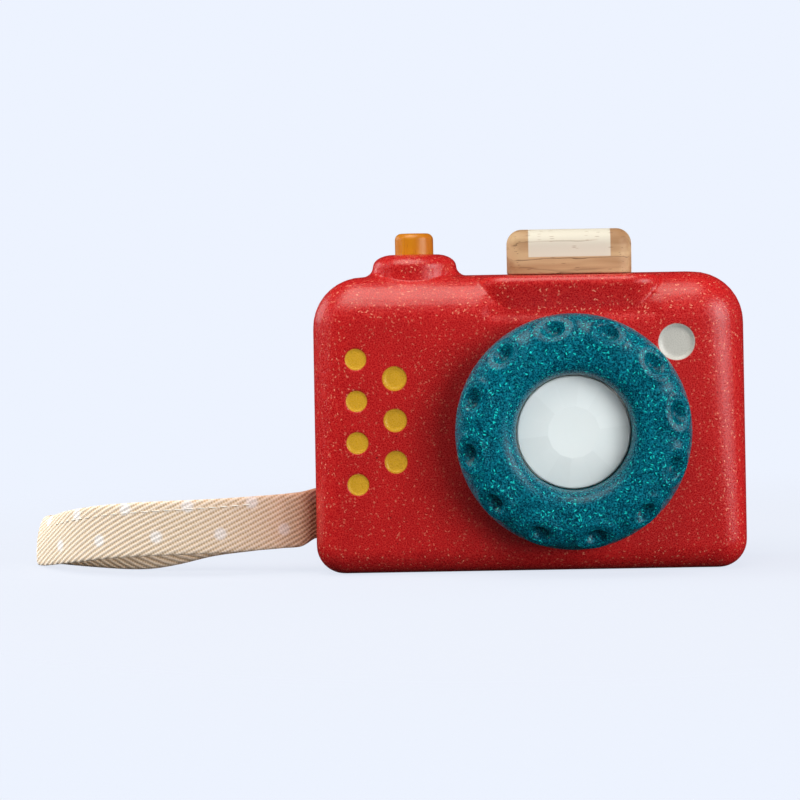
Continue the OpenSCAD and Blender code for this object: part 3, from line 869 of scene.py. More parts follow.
@dataclass
class Casing:
    """Body of the camera: the pressed front shell and the cover that closes it behind."""

    shell_voxel: float = 0.45
    cover_voxel: float = 0.6
    smoothing: int = 5
    shell_keep: float = 0.42
    cover_keep: float = 0.6
    front_y: float = -18.0
    dot_sides: int = 72
    dot_sink: float = 0.3
    cutter_reach: float = 1.0
    edge_r: float = 12.0
    hump_x: float = -31.2
    hump_r: float = 11.6
    hump_front: float = 0.4
    hump_fade: float = 0.3
    flare_reach: float = 3.5
    flare_share: float = 0.85
    crease: float = 0.35
    crease_reach: float = 1.3
    hood_x: float = 11.6
    hood_half: float = 22.0
    hood_brow: float = 78.7
    hood_foot: float = 70.6
    hood_fade: float = 2.5
    hood_tuck: float = 0.7
    hood_depth: float = 2.0
    flash_depth: float = 4.0
    flash_reach: float = 5.3
    flash_share: float = 0.55
    sharp: float = 40.0

    def build(self) -> None:
        """Makes the shell and the cover, and dresses the pegs between them."""
        shell = soft_copy(
            "front_shell", "moulded_shell", self.shell_voxel, self.smoothing, self.shell_keep
        )
        self.press_details(shell.data)
        self.sink_dots(shell)
        settle(shell, Body.CAMERA, RED_FIBRE.material(), ("front_shell",))
        cover = soft_copy(
            "rear_cover", "moulded_cover", self.cover_voxel, self.smoothing, self.cover_keep
        )
        settle(cover, Body.CAMERA, COVER_FIBRE.material(), ("rear_cover",))
        dress("cover_pegs", PLAIN_WOOD.material())

    def press_details(self, mesh: bpy.types.Mesh) -> None:
        """Presses in the foot of the hump and of the hood, and lifts the floor of the flash.

        Args:
            mesh: Mesh of the shell.
        """
        place, normal = read_points(mesh)
        x, y, z = (place / MM).T
        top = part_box("rear_cover")[1].z / MM
        over = np.clip(-y + self.front_y + self.edge_r, 0, self.edge_r)
        rise = z - top + self.edge_r - np.sqrt(self.edge_r ** 2 - over ** 2)
        beyond = np.hypot(x - self.hump_x, y) - self.hump_r
        front = np.clip((-y / self.hump_r - self.hump_front) / self.hump_fade, 0, 1)
        flare = (beyond > 0) & (beyond < self.flare_reach) & (rise > 0) & (rise < self.flare_reach)
        pressed = np.where(flare, rise * front * self.flare_share, 0)
        place[:, 2] -= pressed * MM
        near = np.clip(1 - np.hypot(beyond, rise - pressed) / self.crease_reach, 0, 1)
        place -= normal * (self.crease * MM * front * near)[:, None]
        flash_x, flash_z, _ = RED_FIBRE.paint[1].places[0]
        inside = np.hypot(x - flash_x, z - flash_z) < self.flash_reach
        inside &= y < self.front_y + self.flash_depth
        sunk = np.where(inside, (y - self.front_y) * (1 - self.flash_share), 0)
        place[:, 1] -= sunk * MM
        lean = (self.hood_brow - z) / (self.hood_brow - self.hood_foot)
        below = 1 - (self.hood_foot - z) / self.hood_fade
        aside = 1 - (np.abs(x - self.hood_x) - self.hood_half) / self.hood_fade
        tuck = np.clip(np.minimum(lean, below), 0, 1) * np.clip(aside, 0, 1)
        outer = (y < self.front_y + self.hood_depth) & (normal[:, 1] < -0.5)
        place[:, 1] += np.where(outer, tuck * self.hood_tuck, 0) * MM
        write_points(mesh, place)

    def sink_dots(self, shell: bpy.types.Object) -> None:
        """Cuts flat floors with crisp walls for the yellow dots into the shell's front face."""
        front = self.front_y * MM
        tall = self.cutter_reach + self.dot_sink
        bpy.ops.object.select_all(action="DESELECT")
        drills = []
        for x, z, radius in RED_FIBRE.paint[0].places:
            bpy.ops.mesh.primitive_cylinder_add(
                vertices=self.dot_sides, radius=radius * MM, depth=tall * MM,
                rotation=(math.pi / 2, 0, 0),
                location=(x * MM, front + (self.dot_sink - tall / 2) * MM, z * MM),
            )
            drills.append(bpy.context.object)
        for drill in drills:
            drill.select_set(True)
        bpy.ops.object.join()
        drill = bpy.context.object
        apply_modifier(shell, "BOOLEAN", operation="DIFFERENCE", solver="MANIFOLD", object=drill)
        select_only(drill)
        bpy.ops.object.delete()
        select_only(shell)
        bpy.ops.object.shade_smooth_by_angle(angle=math.radians(self.sharp))


@dataclass
class LensGroup:
    """Turning lens: the dimpled ring, the faceted lens, and the sleeve and collar behind them.

    Heights are measured forwards from the front face, and radii from the lens axis.
    """

    back: float = 0.8
    seat: float = 5.0
    crest: float = 15.0
    sleeve_r: float = 18.05
    bore_r: float = 15.5
    outer_r: float = 31.75
    roll_r: float = 5.0
    shoulder_r: float = 7.6
    back_r: float = 4.6
    dimples: int = 12
    dimple_start: float = 10.5
    dimple_tilt: float = 55.0
    dimple_depth: float = 2.7
    dimple_half_width: float = 3.2
    dimple_half_height: float = 2.6
    dimple_power: float = 2.3
    lip: float = 0.35
    lip_place: float = 1.6
    lip_width: float = 0.3
    turn_steps: int = 440
    sharp: float = 50.0
    lens_r: float = 15.15
    lens_bevel: float = 0.35
    lens_rim: float = 2.6
    lens_rise: float = 1.1
    facets: int = 14
    facet_start: float = 7.3
    facet_cuts: int = 12
    table_r: float = 7.0
    # Painted light on the facets: a middle share, a rise towards the top, and a step between
    # neighbours.
    painted_light: float = 0.5
    painted_light_slope: float = 0.35
    painted_light_step: float = 0.15

    def axis_point(self) -> Vector:
        """Gives the point where the lens axis meets the front face."""
        low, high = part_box("lens_ring")
        return Vector(((low.x + high.x) / 2, low.y + self.crest * MM, (low.z + high.z) / 2))

    def build(self) -> None:
        """Makes the ring and the lens, and dresses what is behind them."""
        settle(self.ring(), Body.LENS, TEAL_FIBRE.material(), ("lens_ring",))
        settle(self.lens(), Body.LENS, LENS_ACRYLIC.material(), ("faceted_lens",))
        dress("lens_sleeve", IVORY.material())
        dress("sleeve_collar", PLAIN_WOOD.material())
        dress("glide_washer", FIBRE_BOARD.material())

    @staticmethod
    def arc(x: float, y: float, r: float, start: float, end: float, steps: int) -> list:
        """Gives points on an arc of the ring's section, in mm.

        Args:
            x: Radius of the arc's centre.
            y: Height of the arc's centre.
            r: Radius of the arc.
            start: First angle, in degrees.
            end: Last angle, in degrees.
            steps: Steps along the arc.

        Returns:
            Points as radius and height.
        """
        turns = np.radians(np.linspace(start, end, steps + 1))
        return [(x + r * math.cos(t), y + r * math.sin(t)) for t in turns]

    def section(self) -> list[tuple[float, float]]:
        """Gives the closed section of the ring as radius and height, in mm."""
        points = [(self.sleeve_r, h) for h in np.linspace(self.back, self.seat, 6)]
        points += [(self.bore_r, h) for h in np.linspace(self.seat, self.crest - self.roll_r, 6)]
        points += self.arc(
            self.bore_r + self.roll_r, self.crest - self.roll_r, self.roll_r, 180, 90, 14
        )[1:]
        points += self.arc(
            self.outer_r - self.shoulder_r, self.crest - self.shoulder_r, self.shoulder_r, 90, 0, 40
        )
        points += self.arc(
            self.outer_r - self.back_r, self.back + self.back_r, self.back_r, 0, -90, 10
        )
        floor = np.linspace(self.outer_r - self.back_r, self.sleeve_r, 8)[1:-1]
        return points + [(r, self.back) for r in floor]

    def ring(self) -> bpy.types.Object:
        """Spins the ring's section and presses the dimples into it."""
        section = self.section()
        axis = self.axis_point()
        bpy.ops.object.select_all(action="DESELECT")
        bpy.ops.mesh.primitive_circle_add(vertices=len(section), radius=self.outer_r * MM)
        ring = bpy.context.object
        ring.name = "dimpled_ring"
        for vertex, (r, h) in zip(ring.data.vertices, section):
            vertex.co = (axis.x + r * MM, axis.y - h * MM, axis.z)
        bpy.ops.object.mode_set(mode="EDIT")
        bpy.ops.mesh.select_all(action="SELECT")
        bpy.ops.mesh.spin(steps=self.turn_steps, angle=math.tau, center=axis, axis=(0, 1, 0))
        bpy.ops.object.mode_set(mode="OBJECT")
        merge_points(ring, 0.01)
        self.press_dimples(ring.data, axis)
        bpy.ops.object.shade_smooth_by_angle(angle=math.radians(self.sharp))
        return ring

    def press_dimples(self, mesh: bpy.types.Mesh, axis: Vector) -> None:
        """Presses thumb dimples with soft raised lips into the ring's shoulder.

        Args:
            mesh: Mesh of the plain ring.
            axis: Point of the lens axis on the front face.
        """
        place, normal = read_points(mesh)
        local = (place - np.array(axis)) / MM
        radius = np.hypot(local[:, 0], local[:, 2])
        height = -local[:, 1]
        centre_r = self.outer_r - self.shoulder_r
        centre_h = self.crest - self.shoulder_r
        tilt = np.arctan2(height - centre_h, radius - centre_r)
        along = self.shoulder_r * (np.clip(tilt, 0, math.pi / 2) - math.radians(self.dimple_tilt))
        along += np.where(radius < centre_r, centre_r - radius, 0)
        along -= np.where(height < centre_h, centre_h - height, 0)
        step = math.tau / self.dimples
        turn = np.arctan2(local[:, 2], local[:, 0]) - math.radians(self.dimple_start)
        turn = (turn + step / 2) % step - step / 2
        reach = np.hypot(turn * radius / self.dimple_half_width, along / self.dimple_half_height)
        pit = -self.dimple_depth * np.clip(1 - reach ** self.dimple_power, 0, 1)
        lip = self.lip * np.exp(-((reach - self.lip_place) / self.lip_width) ** 2)
        front = (height > self.back + self.back_r) & (radius > self.bore_r + self.roll_r)
        move = np.where(front, pit + lip, 0)
        place += normal * (move * MM)[:, None]
        write_points(mesh, place)

    def lens(self) -> bpy.types.Object:
        """Cuts a ring of flat facets into a round plate, and paints light and shade on each facet."""
        axis = self.axis_point()
        bpy.ops.object.select_all(action="DESELECT")
        bpy.ops.mesh.primitive_cylinder_add(
            vertices=self.facets * self.facet_cuts, radius=self.lens_r * MM,
            depth=self.lens_rim * MM, rotation=(math.pi / 2, 0, 0),
            location=axis - Vector((0, (self.seat + self.lens_rim / 2) * MM, 0)),
        )
        lens = bpy.context.object
        lens.name = "faceted_plate"
        bpy.context.tool_settings.mesh_select_mode = (False, False, True)
        bpy.ops.object.transform_apply(location=True, rotation=True, scale=True)
        for face in lens.data.polygons:
            face.select = face.normal.y < -0.9
        bpy.ops.object.mode_set(mode="EDIT")
        bpy.ops.mesh.select_mode(type="FACE")
        bpy.ops.mesh.inset(thickness=(self.lens_r - self.table_r) * MM)
        bpy.ops.object.mode_set(mode="OBJECT")
        front = axis.y - (self.seat + self.lens_rim) * MM
        half = math.pi / self.facets
        apothem = self.table_r * math.cos(half)
        slope = self.lens_rise / (self.lens_r - apothem)
        for vertex in lens.data.vertices:
            if vertex.co.y > front + 0.01 * MM:
                continue
            x, z = vertex.co.x - axis.x, vertex.co.z - axis.z
            turn = math.atan2(z, x) - math.radians(self.facet_start)
            aside = turn % (2 * half) - half
            if math.hypot(x, z) < (self.lens_r - 1) * MM:
                grow = apothem * MM / math.cos(aside) / math.hypot(x, z)
                vertex.co = (axis.x + x * grow, front - self.lens_rise * MM, axis.z + z * grow)
            else:
                drop = slope * (self.lens_r * math.cos(aside) - apothem)
                vertex.co.y = front - (self.lens_rise - drop) * MM
        rim = {
            vertex.index for vertex in lens.data.vertices
            if vertex.co.y < axis.y - (self.seat + self.lens_rim / 2) * MM
            and math.hypot(vertex.co.x - axis.x, vertex.co.z - axis.z) > (self.lens_r - 0.1) * MM
        }
        for face in lens.data.polygons:
            face.select = False
        for edge in lens.data.edges:
            edge.select = rim.issuperset(edge.vertices)
        bpy.ops.object.mode_set(mode="EDIT")
        bpy.ops.mesh.select_mode(type="EDGE")
        bpy.ops.mesh.bevel(offset=self.lens_bevel * MM, segments=2, affect="EDGES")
        bpy.ops.mesh.select_mode(type="FACE")
        bpy.ops.object.mode_set(mode="OBJECT")
        # Painted light and shade per facet: facets lighter towards the top, and neighbours lighter
        # and darker in turn.
        painted_lights = lens.data.attributes.new("facet_painted_light", "FLOAT", "FACE").data
        for face, painted_light in zip(lens.data.polygons, painted_lights):
            face.use_smooth = abs(face.normal.y) < 0.5
            x, z = face.center.x - axis.x, face.center.z - axis.z
            painted_light.value = self.painted_light
            if math.hypot(x, z) > self.table_r / 2 * MM:
                turn = math.atan2(z, x) - math.radians(self.facet_start)
                number = int(turn % (2 * math.pi) / (2 * half))
                middle = math.radians(self.facet_start) + (2 * number + 1) * half
                painted_light.value += self.painted_light_slope * math.sin(middle) + self.painted_light_step * (-1) ** number
        return lens


@dataclass
class Shutter:
    """Sprung shutter button with its washer, screw, spring and plug."""

    button_r: float = 5.3
    edge: float = 1.8
    pilot_r: float = 1.35
    pilot_depth: float = 9.2
    coils: float = 5.5
    wire_r: float = 0.45
    coil_r: float = 5.6
    travel: float = 4.0
    button_sides: int = 96
    wire_sides: int = 12
    coil_steps: int = 32
    sharp: float = 40.0

    def build(self) -> None:
        """Makes the button and the spring, and dresses the rest of the stack."""
        settle(self.button(), Body.SHUTTER, BUTTON_WOOD.material(),
               ("shutter_button",))
        spring = self.spring()
        settle(spring, Body.CAMERA, STEEL.material(), ("button_spring",))
        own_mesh(spring)
        dress("button_washer", STEEL.material())
        dress("washer_screw", STEEL.material())
        dress("spring_plug", PLAIN_WOOD.material())

    def button(self) -> bpy.types.Object:
        """Turns the dowel button with a rounded top edge and a pilot hole below."""
        low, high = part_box("shutter_button")
        middle = (low + high) / 2
        bpy.ops.object.select_all(action="DESELECT")
        bpy.ops.mesh.primitive_cylinder_add(
            vertices=self.button_sides, radius=self.button_r * MM,
            depth=high.z - low.z, location=middle,
        )
        button = bpy.context.object
        button.name = "dowel_button"
        bpy.ops.object.transform_apply(location=True, rotation=True, scale=True)
        for face in button.data.polygons:
            face.select = face.normal.z < -0.9
        bpy.ops.object.mode_set(mode="EDIT")
        bpy.ops.mesh.select_mode(type="FACE")
        bpy.ops.mesh.inset(thickness=(self.button_r - self.pilot_r) * MM)
        bpy.ops.mesh.extrude_region_move(
            TRANSFORM_OT_translate={"value": (0, 0, self.pilot_depth * MM)}
        )
        bpy.ops.mesh.select_all(action="DESELECT")
        bpy.ops.object.mode_set(mode="OBJECT")
        for face in button.data.polygons:
            face.select = face.normal.z > 0.9 and face.center.z > high.z - 0.1 * MM
        bpy.ops.object.mode_set(mode="EDIT")
        bpy.ops.mesh.bevel(offset=self.edge * MM, segments=8, affect="EDGES")
        bpy.ops.object.mode_set(mode="OBJECT")
        bpy.ops.object.shade_smooth_by_angle(angle=math.radians(self.sharp))
        return button

    def spring(self) -> bpy.types.Object:
        """Winds the spring's wire about the button's axis."""
        low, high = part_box("button_spring")
        middle = (low + high) / 2
        bpy.ops.object.select_all(action="DESELECT")
        bpy.ops.mesh.primitive_circle_add(
            vertices=self.wire_sides, radius=self.wire_r * MM, fill_type="NGON",
            location=(self.coil_r * MM, 0, self.wire_r * MM), rotation=(math.pi / 2, 0, 0),
        )
        spring = bpy.context.object
        spring.name = "coiled_spring"
        bpy.ops.object.transform_apply(location=True, rotation=True, scale=True)
        rise = high.z - low.z - 2 * self.wire_r * MM
        steps = int(self.coils * self.coil_steps)
        apply_modifier(
            spring, "SCREW", axis="Z", angle=self.coils * math.tau, screw_offset=rise,
            steps=steps, render_steps=steps,
        )
        spring.location = (middle.x, middle.y, low.z)
        bpy.ops.object.transform_apply(location=True, rotation=True, scale=True)
        merge_points(spring, 0.001)
        bpy.ops.object.shade_smooth_by_angle(angle=math.radians(self.sharp))
        return spring


@dataclass
class Finder:
    """Wooden finder block on its two dowels."""

    voxel: float = 0.3
    smoothing: int = 6

    def build(self) -> None:
        """Makes the block and dresses its dowels."""
        block = soft_copy("finder_block", "sanded_block", self.voxel, self.smoothing, 1.0)
        settle(block, Body.CAMERA, BLOCK_WOOD.material(), ("finder_block",))
        dress("block_dowels", PLAIN_WOOD.material())


@dataclass
class WristStrap:
    """Loop of cotton twill tape on edge, sewn along its upper side and held by a bar in the body.

    The route is the middle of the tape outside the body: outwards, backwards and upwards from
    the middle of its slot.
    """

    tape_w: float = 15.0
    tape_t: float = 1.15
    wall: float = 6.0
    strand_gap: float = 1.3
    strap_y: float = -7.2
    strap_z: float = 14.7
    bar_inset: float = 5.0
    turn_r: float = 2.9
    turn_steps: int = 8
    curve_steps: int = 24
    cells_along: int = 520
    cells_across: int = 60
    edge_power: float = 14.0
    edge_thin: float = 0.04
    rib_height: float = 0.11
    curl: float = 2.4
    curl_length: float = 3.0
    lean: float = 2.6
    lean_length: float = 16.0
    lean_drop: float = 1.0
    slot_lift: float = 1.0
    # Reach of the painted shade and painted red reflection along the tape from the body's side, in
    # mm.
    painted_shade_length: float = 22.0
    stitch_length: float = 2.2
    stitch_gap: float = 0.9
    stitch_r: float = 0.17
    stitch_run: tuple[float, float] = (14.0, 78.0)
    stitch_drop: tuple[float, float] = (3.2, 2.1)

    def route(self) -> list[tuple[float, float, float]]:
        """Gives the route of the tape outside the body, in mm."""
        gap = self.strand_gap
        return [
            (-self.wall, gap, 0), (0, gap, 0), (5, 1.5, -0.1), (11, 2.4, -0.7), (19, 3.8, -1.6),
            (29.4, 5.6, -3.0), (39.5, 7.6, -5.4), (47, 9.2, -6.7), (54.3, 11.6, -7.1),
            (64, 16.6, -7.1), (72, 22, -7.1), (77.6, 26, -7.1), (81.2, 27.2, -7.1),
            (82.7, 24.2, -7.0), (79.8, 18.8, -6.6), (74.4, 12, -5.4), (67.5, 4.6, -3.9),
            (60.1, -0.8, -2.6), (51, -4.6, -1.6), (41.2, -6.3, -1.1), (27.6, -5.7, -0.8),
            (14, -3.6, -0.3), (9, -2.3, -0.1), (4.5, -2.3, 0), (0, -gap, 0), (-self.wall, -gap, 0),
        ]

    def line(self) -> tuple[np.ndarray, float]:
        """Gives evenly spaced points along the closed middle line, and its length, in mm."""
        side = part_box("front_shell")[0].x / MM
        bar_x = side + self.wall + self.bar_inset
        turns = np.radians(np.linspace(-90, 90, self.turn_steps + 1))
        knots = [(bar_x + self.turn_r * math.cos(t), self.turn_r * math.sin(t), 0) for t in turns]
        knots += [(side - out, back, up) for out, back, up in self.route()]
        knots = np.array(knots) + (0, self.strap_y, self.strap_z)
        before, after, beyond = (np.roll(knots, k, axis=0) for k in (1, -1, -2))
        fine = []
        for t in np.linspace(0, 1, self.curve_steps, endpoint=False):
            fine.append(0.5 * (
                2 * knots + (after - before) * t
                + (2 * before - 5 * knots + 4 * after - beyond) * t * t
                + (3 * knots - before - 3 * after + beyond) * t ** 3
            ))
        fine = np.stack(fine, axis=1).reshape(-1, 3)
        fine = np.vstack([fine, fine[:1]])
        steps = np.r_[0, np.cumsum(np.linalg.norm(np.diff(fine, axis=0), axis=1))]
        even = np.linspace(0, steps[-1], self.cells_along + 1)
        return np.stack([np.interp(even, steps, fine[:, i]) for i in range(3)], axis=1), steps[-1]

    def frames(self) -> tuple[np.ndarray, np.ndarray, np.ndarray, np.ndarray]:
        """Gives the middle line, its outward normals, the run along it and its reach, in mm.

        Returns:
            Places, normals, run, and distance outwards from the body's side.
        """
        line, length = self.line()
        ring = line[:-1]
        ahead = np.roll(ring, -2, axis=0) - np.roll(ring, 2, axis=0)
        out = np.stack([ahead[:, 1], -ahead[:, 0], np.zeros(len(ring))], axis=1)
        out /= np.linalg.norm(out, axis=1)[:, None]
        run = np.linspace(0, length, len(line))[:-1]
        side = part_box("front_shell")[0].x / MM
        return ring, out, run, np.clip(side - ring[:, 0], 0, None)

    def build(self) -> None:
        """Makes the tape and its stitches, and dresses the bar."""
        tape = self.tape()
        settle(tape, Body.CAMERA, TAPE_COTTON.material(), ("wrist_strap",))
        stitches = self.stitches()
        length = self.line()[1]
        settle(stitches, Body.CAMERA, THREAD.material())
        dress("strap_bar", PLAIN_WOOD.material())
        LOG.info("tape is %.1f mm long", length)

    def drape(
        self, outside: np.ndarray, run: np.ndarray, spread: np.ndarray
    ) -> tuple[np.ndarray, np.ndarray]:
        """Lets the tape lean to the body at the end of the loop and curl where it enters the body.

        Args:
            outside: Distance of each place on the line from the body's side, in mm.
            run: Place along the line, in mm.
            spread: Places across the tape, from -0.5 at its lower to 0.5 at its upper edge.

        Returns:
            How far each point moves towards the body, and how far it moves up, in mm.
        """
        tip = run[np.argmax(outside)]
        near_tip = np.exp(-((run - tip) / self.lean_length) ** 2)[:, None]
        high = (spread + 0.5)[None, :]
        near_slot = np.exp(-(outside / self.curl_length) ** 2)[:, None]
        aside = self.lean * near_tip * high ** 3
        rise = self.curl * near_slot * (1 - high) ** 3 + self.slot_lift * near_slot * high
        return aside, rise - self.lean_drop * near_tip * high ** 2

    def rib_wave(self, run: np.ndarray, across: np.ndarray) -> np.ndarray:
        """Gives the height of the twill's ribs, from nought to one."""
        slant = math.radians(TAPE_COTTON.slant)
        phase = (across * math.cos(slant) - run * math.sin(slant)) / TAPE_COTTON.pitch
        return 0.5 + 0.5 * np.cos(math.tau * phase)

    def tape(self) -> bpy.types.Object:
        """Weaves the tape as one closed skin."""
        ring, out, run, outside = self.frames()
        across = np.linspace(-0.5, 0.5, self.cells_across + 1)
        thin = np.sqrt(np.clip(1 - np.abs(2 * across) ** self.edge_power, self.edge_thin, 1))
        rows, marks = [], []
        for face in (1, -1):
            spread = across if face > 0 else across[::-1]
            flat = spread * self.tape_w
            ribs = self.rib_wave(run[:, None], flat[None, :])
            lift = face * (self.tape_t / 2 * thin[None, :] - self.rib_height * (1 - ribs))
            aside, rise = self.drape(outside, run, spread)
            place = ring[:, None, :] + out[:, None, :] * lift[:, :, None]
            place[:, :, 0] += aside
            place[:, :, 2] += flat[None, :] + rise
            rows.append(place)
            marks.append(np.broadcast_to(flat[None, :], ribs.shape))
        skin = np.concatenate(rows, axis=1)
        turns, points = skin.shape[:2]
        index = np.arange(turns * points).reshape(turns, points)
        ahead = np.roll(index, -1, axis=0)
        beside = np.roll(index, -1, axis=1)
        corner = np.roll(ahead, -1, axis=1)
        faces = np.stack([index, beside, corner, ahead], axis=-1).reshape(-1, 4)
        tape = knit("twill_tape", (skin * MM).reshape(-1, 3).tolist(), faces.tolist())
        along = np.repeat(run[:, None], points, axis=1)
        # Painted shade and red reflection: a share that fades with distance from the body's side.
        painted_shade_share = np.repeat(np.exp(-outside / self.painted_shade_length)[:, None], points, axis=1)
        for name, values in (
            ("tape_run", along), ("tape_across", np.concatenate(marks, axis=1)),
            ("tape_painted_shade", painted_shade_share),
        ):
            layer = tape.data.attributes.new(name, "FLOAT", "POINT")
            layer.data.foreach_set("value", values.astype(np.float32).ravel())
        return tape

    def stitches(self) -> bpy.types.Object:
        """Sews a row of stitches along the upper side of the tape's front strand."""
        ring, out, run, outside = self.frames()
        tip = run[np.argmax(outside)]
        bpy.ops.object.select_all(action="DESELECT")
        bpy.ops.mesh.primitive_uv_sphere_add(segments=8, ring_count=7, radius=1.0)
        pattern = bpy.context.object
        shape = np.array([v.co for v in pattern.data.vertices])
        faces = [list(p.vertices) for p in pattern.data.polygons]
        bpy.ops.object.delete()
        pitch = self.stitch_length + self.stitch_gap
        starts = np.arange(self.stitch_run[0], self.stitch_run[1], pitch)
        points, polygons = [], []
        for start in starts:
            share = (start - starts[0]) / (starts[-1] - starts[0])
            drop = self.stitch_drop[0] + share * (self.stitch_drop[1] - self.stitch_drop[0])
            high = 0.5 - drop / self.tape_w
            asides, rises = self.drape(outside, run, np.array([high]))
            along = tip + start + (0.5 + 0.5 * shape[:, 0]) * self.stitch_length
            middle = np.stack([np.interp(along, run, ring[:, i]) for i in range(3)], axis=1)
            normal = np.stack([np.interp(along, run, out[:, i]) for i in range(3)], axis=1)
            middle += normal * (self.tape_t / 2 + shape[:, 1] * self.stitch_r)[:, None]
            middle[:, 0] += np.interp(along, run, asides[:, 0])
            middle[:, 2] += high * self.tape_w + np.interp(along, run, rises[:, 0])
            middle[:, 2] += shape[:, 2] * self.stitch_r
            polygons += [[i + len(points) for i in face] for face in faces]
            points += (middle * MM).tolist()
        return knit("tape_stitches", points, polygons)


@dataclass(frozen=True)
class SoftBox:
    """A square studio light.

    Attributes:
        name: Name of the light.
        place: Where it hangs, in metres.
        size: Length of its side, in metres.
        watts: Its power.
        glare: Whether it shines in glossy places; a polarised light doesn't.
        colour: Colour of its light.
        cone: Angle of a snooted spot's cone, in degrees; nought for an open box.
        blend: Share of the spot's cone that fades out.
        aim: Where it looks, in metres.
    """

    name: str
    place: tuple[float, float, float]
    size: float
    watts: float
    glare: bool = True
    colour: str = "#ffffff"
    cone: float = 0.0
    blend: float = 0.05
    aim: tuple[float, float, float] = (0.0, 0.0, 0.04)


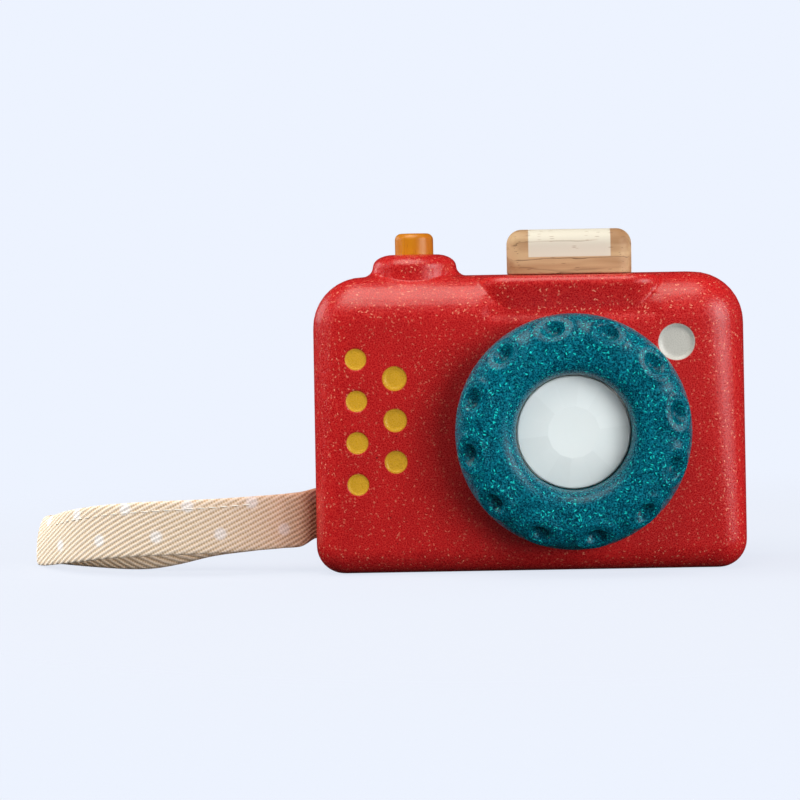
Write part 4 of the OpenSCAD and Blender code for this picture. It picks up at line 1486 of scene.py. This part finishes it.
@dataclass
class Studio:
    """Pale floor, soft light and the camera that the picture was taken with."""

    backdrop: str = "#edf3ff"
    room: str = "#fbfbff"
    ambient: float = 0.13
    gloom: float = 0.015
    floor_r: float = 0.9
    floor_solid: float = 0.12
    floor_clear: float = 0.3
    floor_paint: str = "#58595c"
    floor_glow: float = 0.84
    camera_place: tuple[float, float, float] = (-0.004, -0.6185, 0.084)
    pitch: float = 4.4
    roll: float = 1.0
    focal: float = 100.0
    picture: float = 800.0
    axis_pixel: tuple[float, float] = (515.5, 435.4)
    lights: tuple[SoftBox, ...] = (
        SoftBox("key", (-0.2, -0.24, 0.83), 0.8, 6.5, colour="#fff6ea"),
        SoftBox("right", (0.76, -0.48, 0.33), 0.6, 4.0),
        SoftBox("fill", (0.65, -0.8, 0.22), 0.6, 7.0, glare=False),
        SoftBox("left", (-0.85, -0.05, 0.3), 0.4, 6.5, glare=False),
        SoftBox("left rim", (-0.8, 0.5, 0.35), 0.4, 1.0),
        SoftBox("right rim", (0.85, 0.4, 0.35), 0.4, 1.5, glare=False),
        SoftBox("lens", (-0.16, -0.77, 0.22), 0.02, 7.6, glare=False, cone=2.35,
                aim=(0.0116, -0.026, 0.0392)),
        SoftBox("lens upper half", (-0.01, -0.8, 0.11), 0.02, 30.0, glare=False, cone=1.4,
                blend=1.0, aim=(0.0051, -0.026, 0.0472)),
    )

    def build(self) -> None:
        """Sets up the view, the world, the floor, the lights and the camera."""
        bpy.context.scene.view_settings.view_transform = "Standard"
        self.world()
        self.floor()
        for light in self.lights:
            self.hang(light)
        self.camera()

    @staticmethod
    def pale_ray(tree: Tree) -> Socket:
        """Finds the rays that see the backdrop: from the camera, and on through the lens."""
        path = add_node(tree, "LightPath")
        seen, through = path["Is Camera Ray"], path["Is Transmission Ray"]
        return add_node(tree, "Math", {"operation": "MAXIMUM", 0: seen, 1: through})[0]

    def world(self) -> None:
        """Makes the pale backdrop and the even light of the room."""
        world = bpy.data.worlds.new("pale studio")
        world.use_nodes = True
        bpy.context.scene.world = world
        tree = world.node_tree
        tree.nodes.clear()
        pale, room, dim = (
            add_node(tree, "Background", {"Color": colour, "Strength": power})[0]
            for colour, power in (
                (self.backdrop, 1.0), (self.room, self.ambient), (self.room, self.gloom),
            )
        )
        glossy = add_node(tree, "LightPath")["Is Glossy Ray"]
        unlit = add_node(tree, "MixShader", {0: glossy, 1: room, 2: dim})[0]
        mixed = add_node(tree, "MixShader", {0: self.pale_ray(tree), 1: unlit, 2: pale})[0]
        add_node(tree, "OutputWorld", {0: mixed})

    def floor(self) -> None:
        """Lays a round pale floor that takes the shadow and fades into the backdrop."""
        bpy.ops.object.select_all(action="DESELECT")
        bpy.ops.mesh.primitive_circle_add(
            vertices=96, radius=self.floor_r, fill_type="NGON", location=(0, 0, 0)
        )
        floor = bpy.context.object
        floor.name = "floor"
        material = bpy.data.materials.new("pale floor")
        material.use_nodes = True
        tree = material.node_tree
        tree.nodes.clear()
        paint = add_node(tree, "BsdfDiffuse", {"Color": self.floor_paint})[0]
        light = {"Color": self.backdrop, "Strength": self.floor_glow}
        glow = add_node(tree, "Emission", light)[0]
        lit = add_node(tree, "AddShader", {0: paint, 1: glow})[0]
        shown = add_node(tree, "MixShader", {0: self.pale_ray(tree), 1: paint, 2: lit})[0]
        coords = add_node(tree, "TexCoord")["Object"]
        reach = add_node(tree, "VectorMath", {"operation": "LENGTH", 0: coords})["Value"]
        fade = add_node(tree, "MapRange", {
            "interpolation_type": "SMOOTHSTEP",
            0: reach, 1: self.floor_solid, 2: self.floor_clear, 3: 0.0, 4: 1.0,
        })[0]
        clear = add_node(tree, "BsdfTransparent")[0]
        mixed = add_node(tree, "MixShader", {0: fade, 1: shown, 2: clear})[0]
        add_node(tree, "OutputMaterial", {0: mixed})
        floor.data.materials.append(material)
        floor.visible_glossy = False

    def hang(self, box: SoftBox) -> None:
        """Hangs a soft light or a snooted spot that looks at its place on the object."""
        lamp = bpy.data.lights.new(box.name, "SPOT" if box.cone else "AREA")
        if box.cone:
            lamp.spot_size = math.radians(box.cone)
            lamp.spot_blend = box.blend
            lamp.shadow_soft_size = box.size
        else:
            lamp.size = box.size
        lamp.energy = box.watts
        lamp.color = to_linear(box.colour)[:3]
        light = link(box.name, lamp)
        light.location = box.place
        aim = Vector(box.aim) - Vector(box.place)
        light.rotation_euler = aim.to_track_quat("-Z", "Y").to_euler()
        light.visible_glossy = box.glare

    def camera(self) -> None:
        """Places the camera where the picture was taken from."""
        pitch, roll = math.radians(self.pitch), math.radians(self.roll)
        ahead = Vector((0, math.cos(pitch), -math.sin(pitch)))
        level_up = Vector((0, math.sin(pitch), math.cos(pitch)))
        level_right = Vector((1, 0, 0))
        up = math.cos(roll) * level_up + math.sin(roll) * level_right
        right = math.cos(roll) * level_right - math.sin(roll) * level_up
        view = bpy.data.cameras.new("camera")
        view.lens = self.focal
        view.shift_x = (self.picture / 2 - self.axis_pixel[0]) / self.picture
        view.shift_y = (self.axis_pixel[1] - self.picture / 2) / self.picture
        view.clip_start = 0.01
        camera = link("camera", view)
        turned = Matrix((right, up, -ahead)).transposed().to_4x4()
        camera.matrix_world = Matrix.Translation(self.camera_place) @ turned
        bpy.context.scene.camera = camera


def main() -> None:
    """Builds the studio and the pieces in order."""
    logging.basicConfig(level=logging.INFO, format="%(message)s")
    for part in (Studio(), WristStrap(), Casing(), LensGroup(), Shutter(), Finder()):
        part.build()


if __name__ == "__main__":
    main()
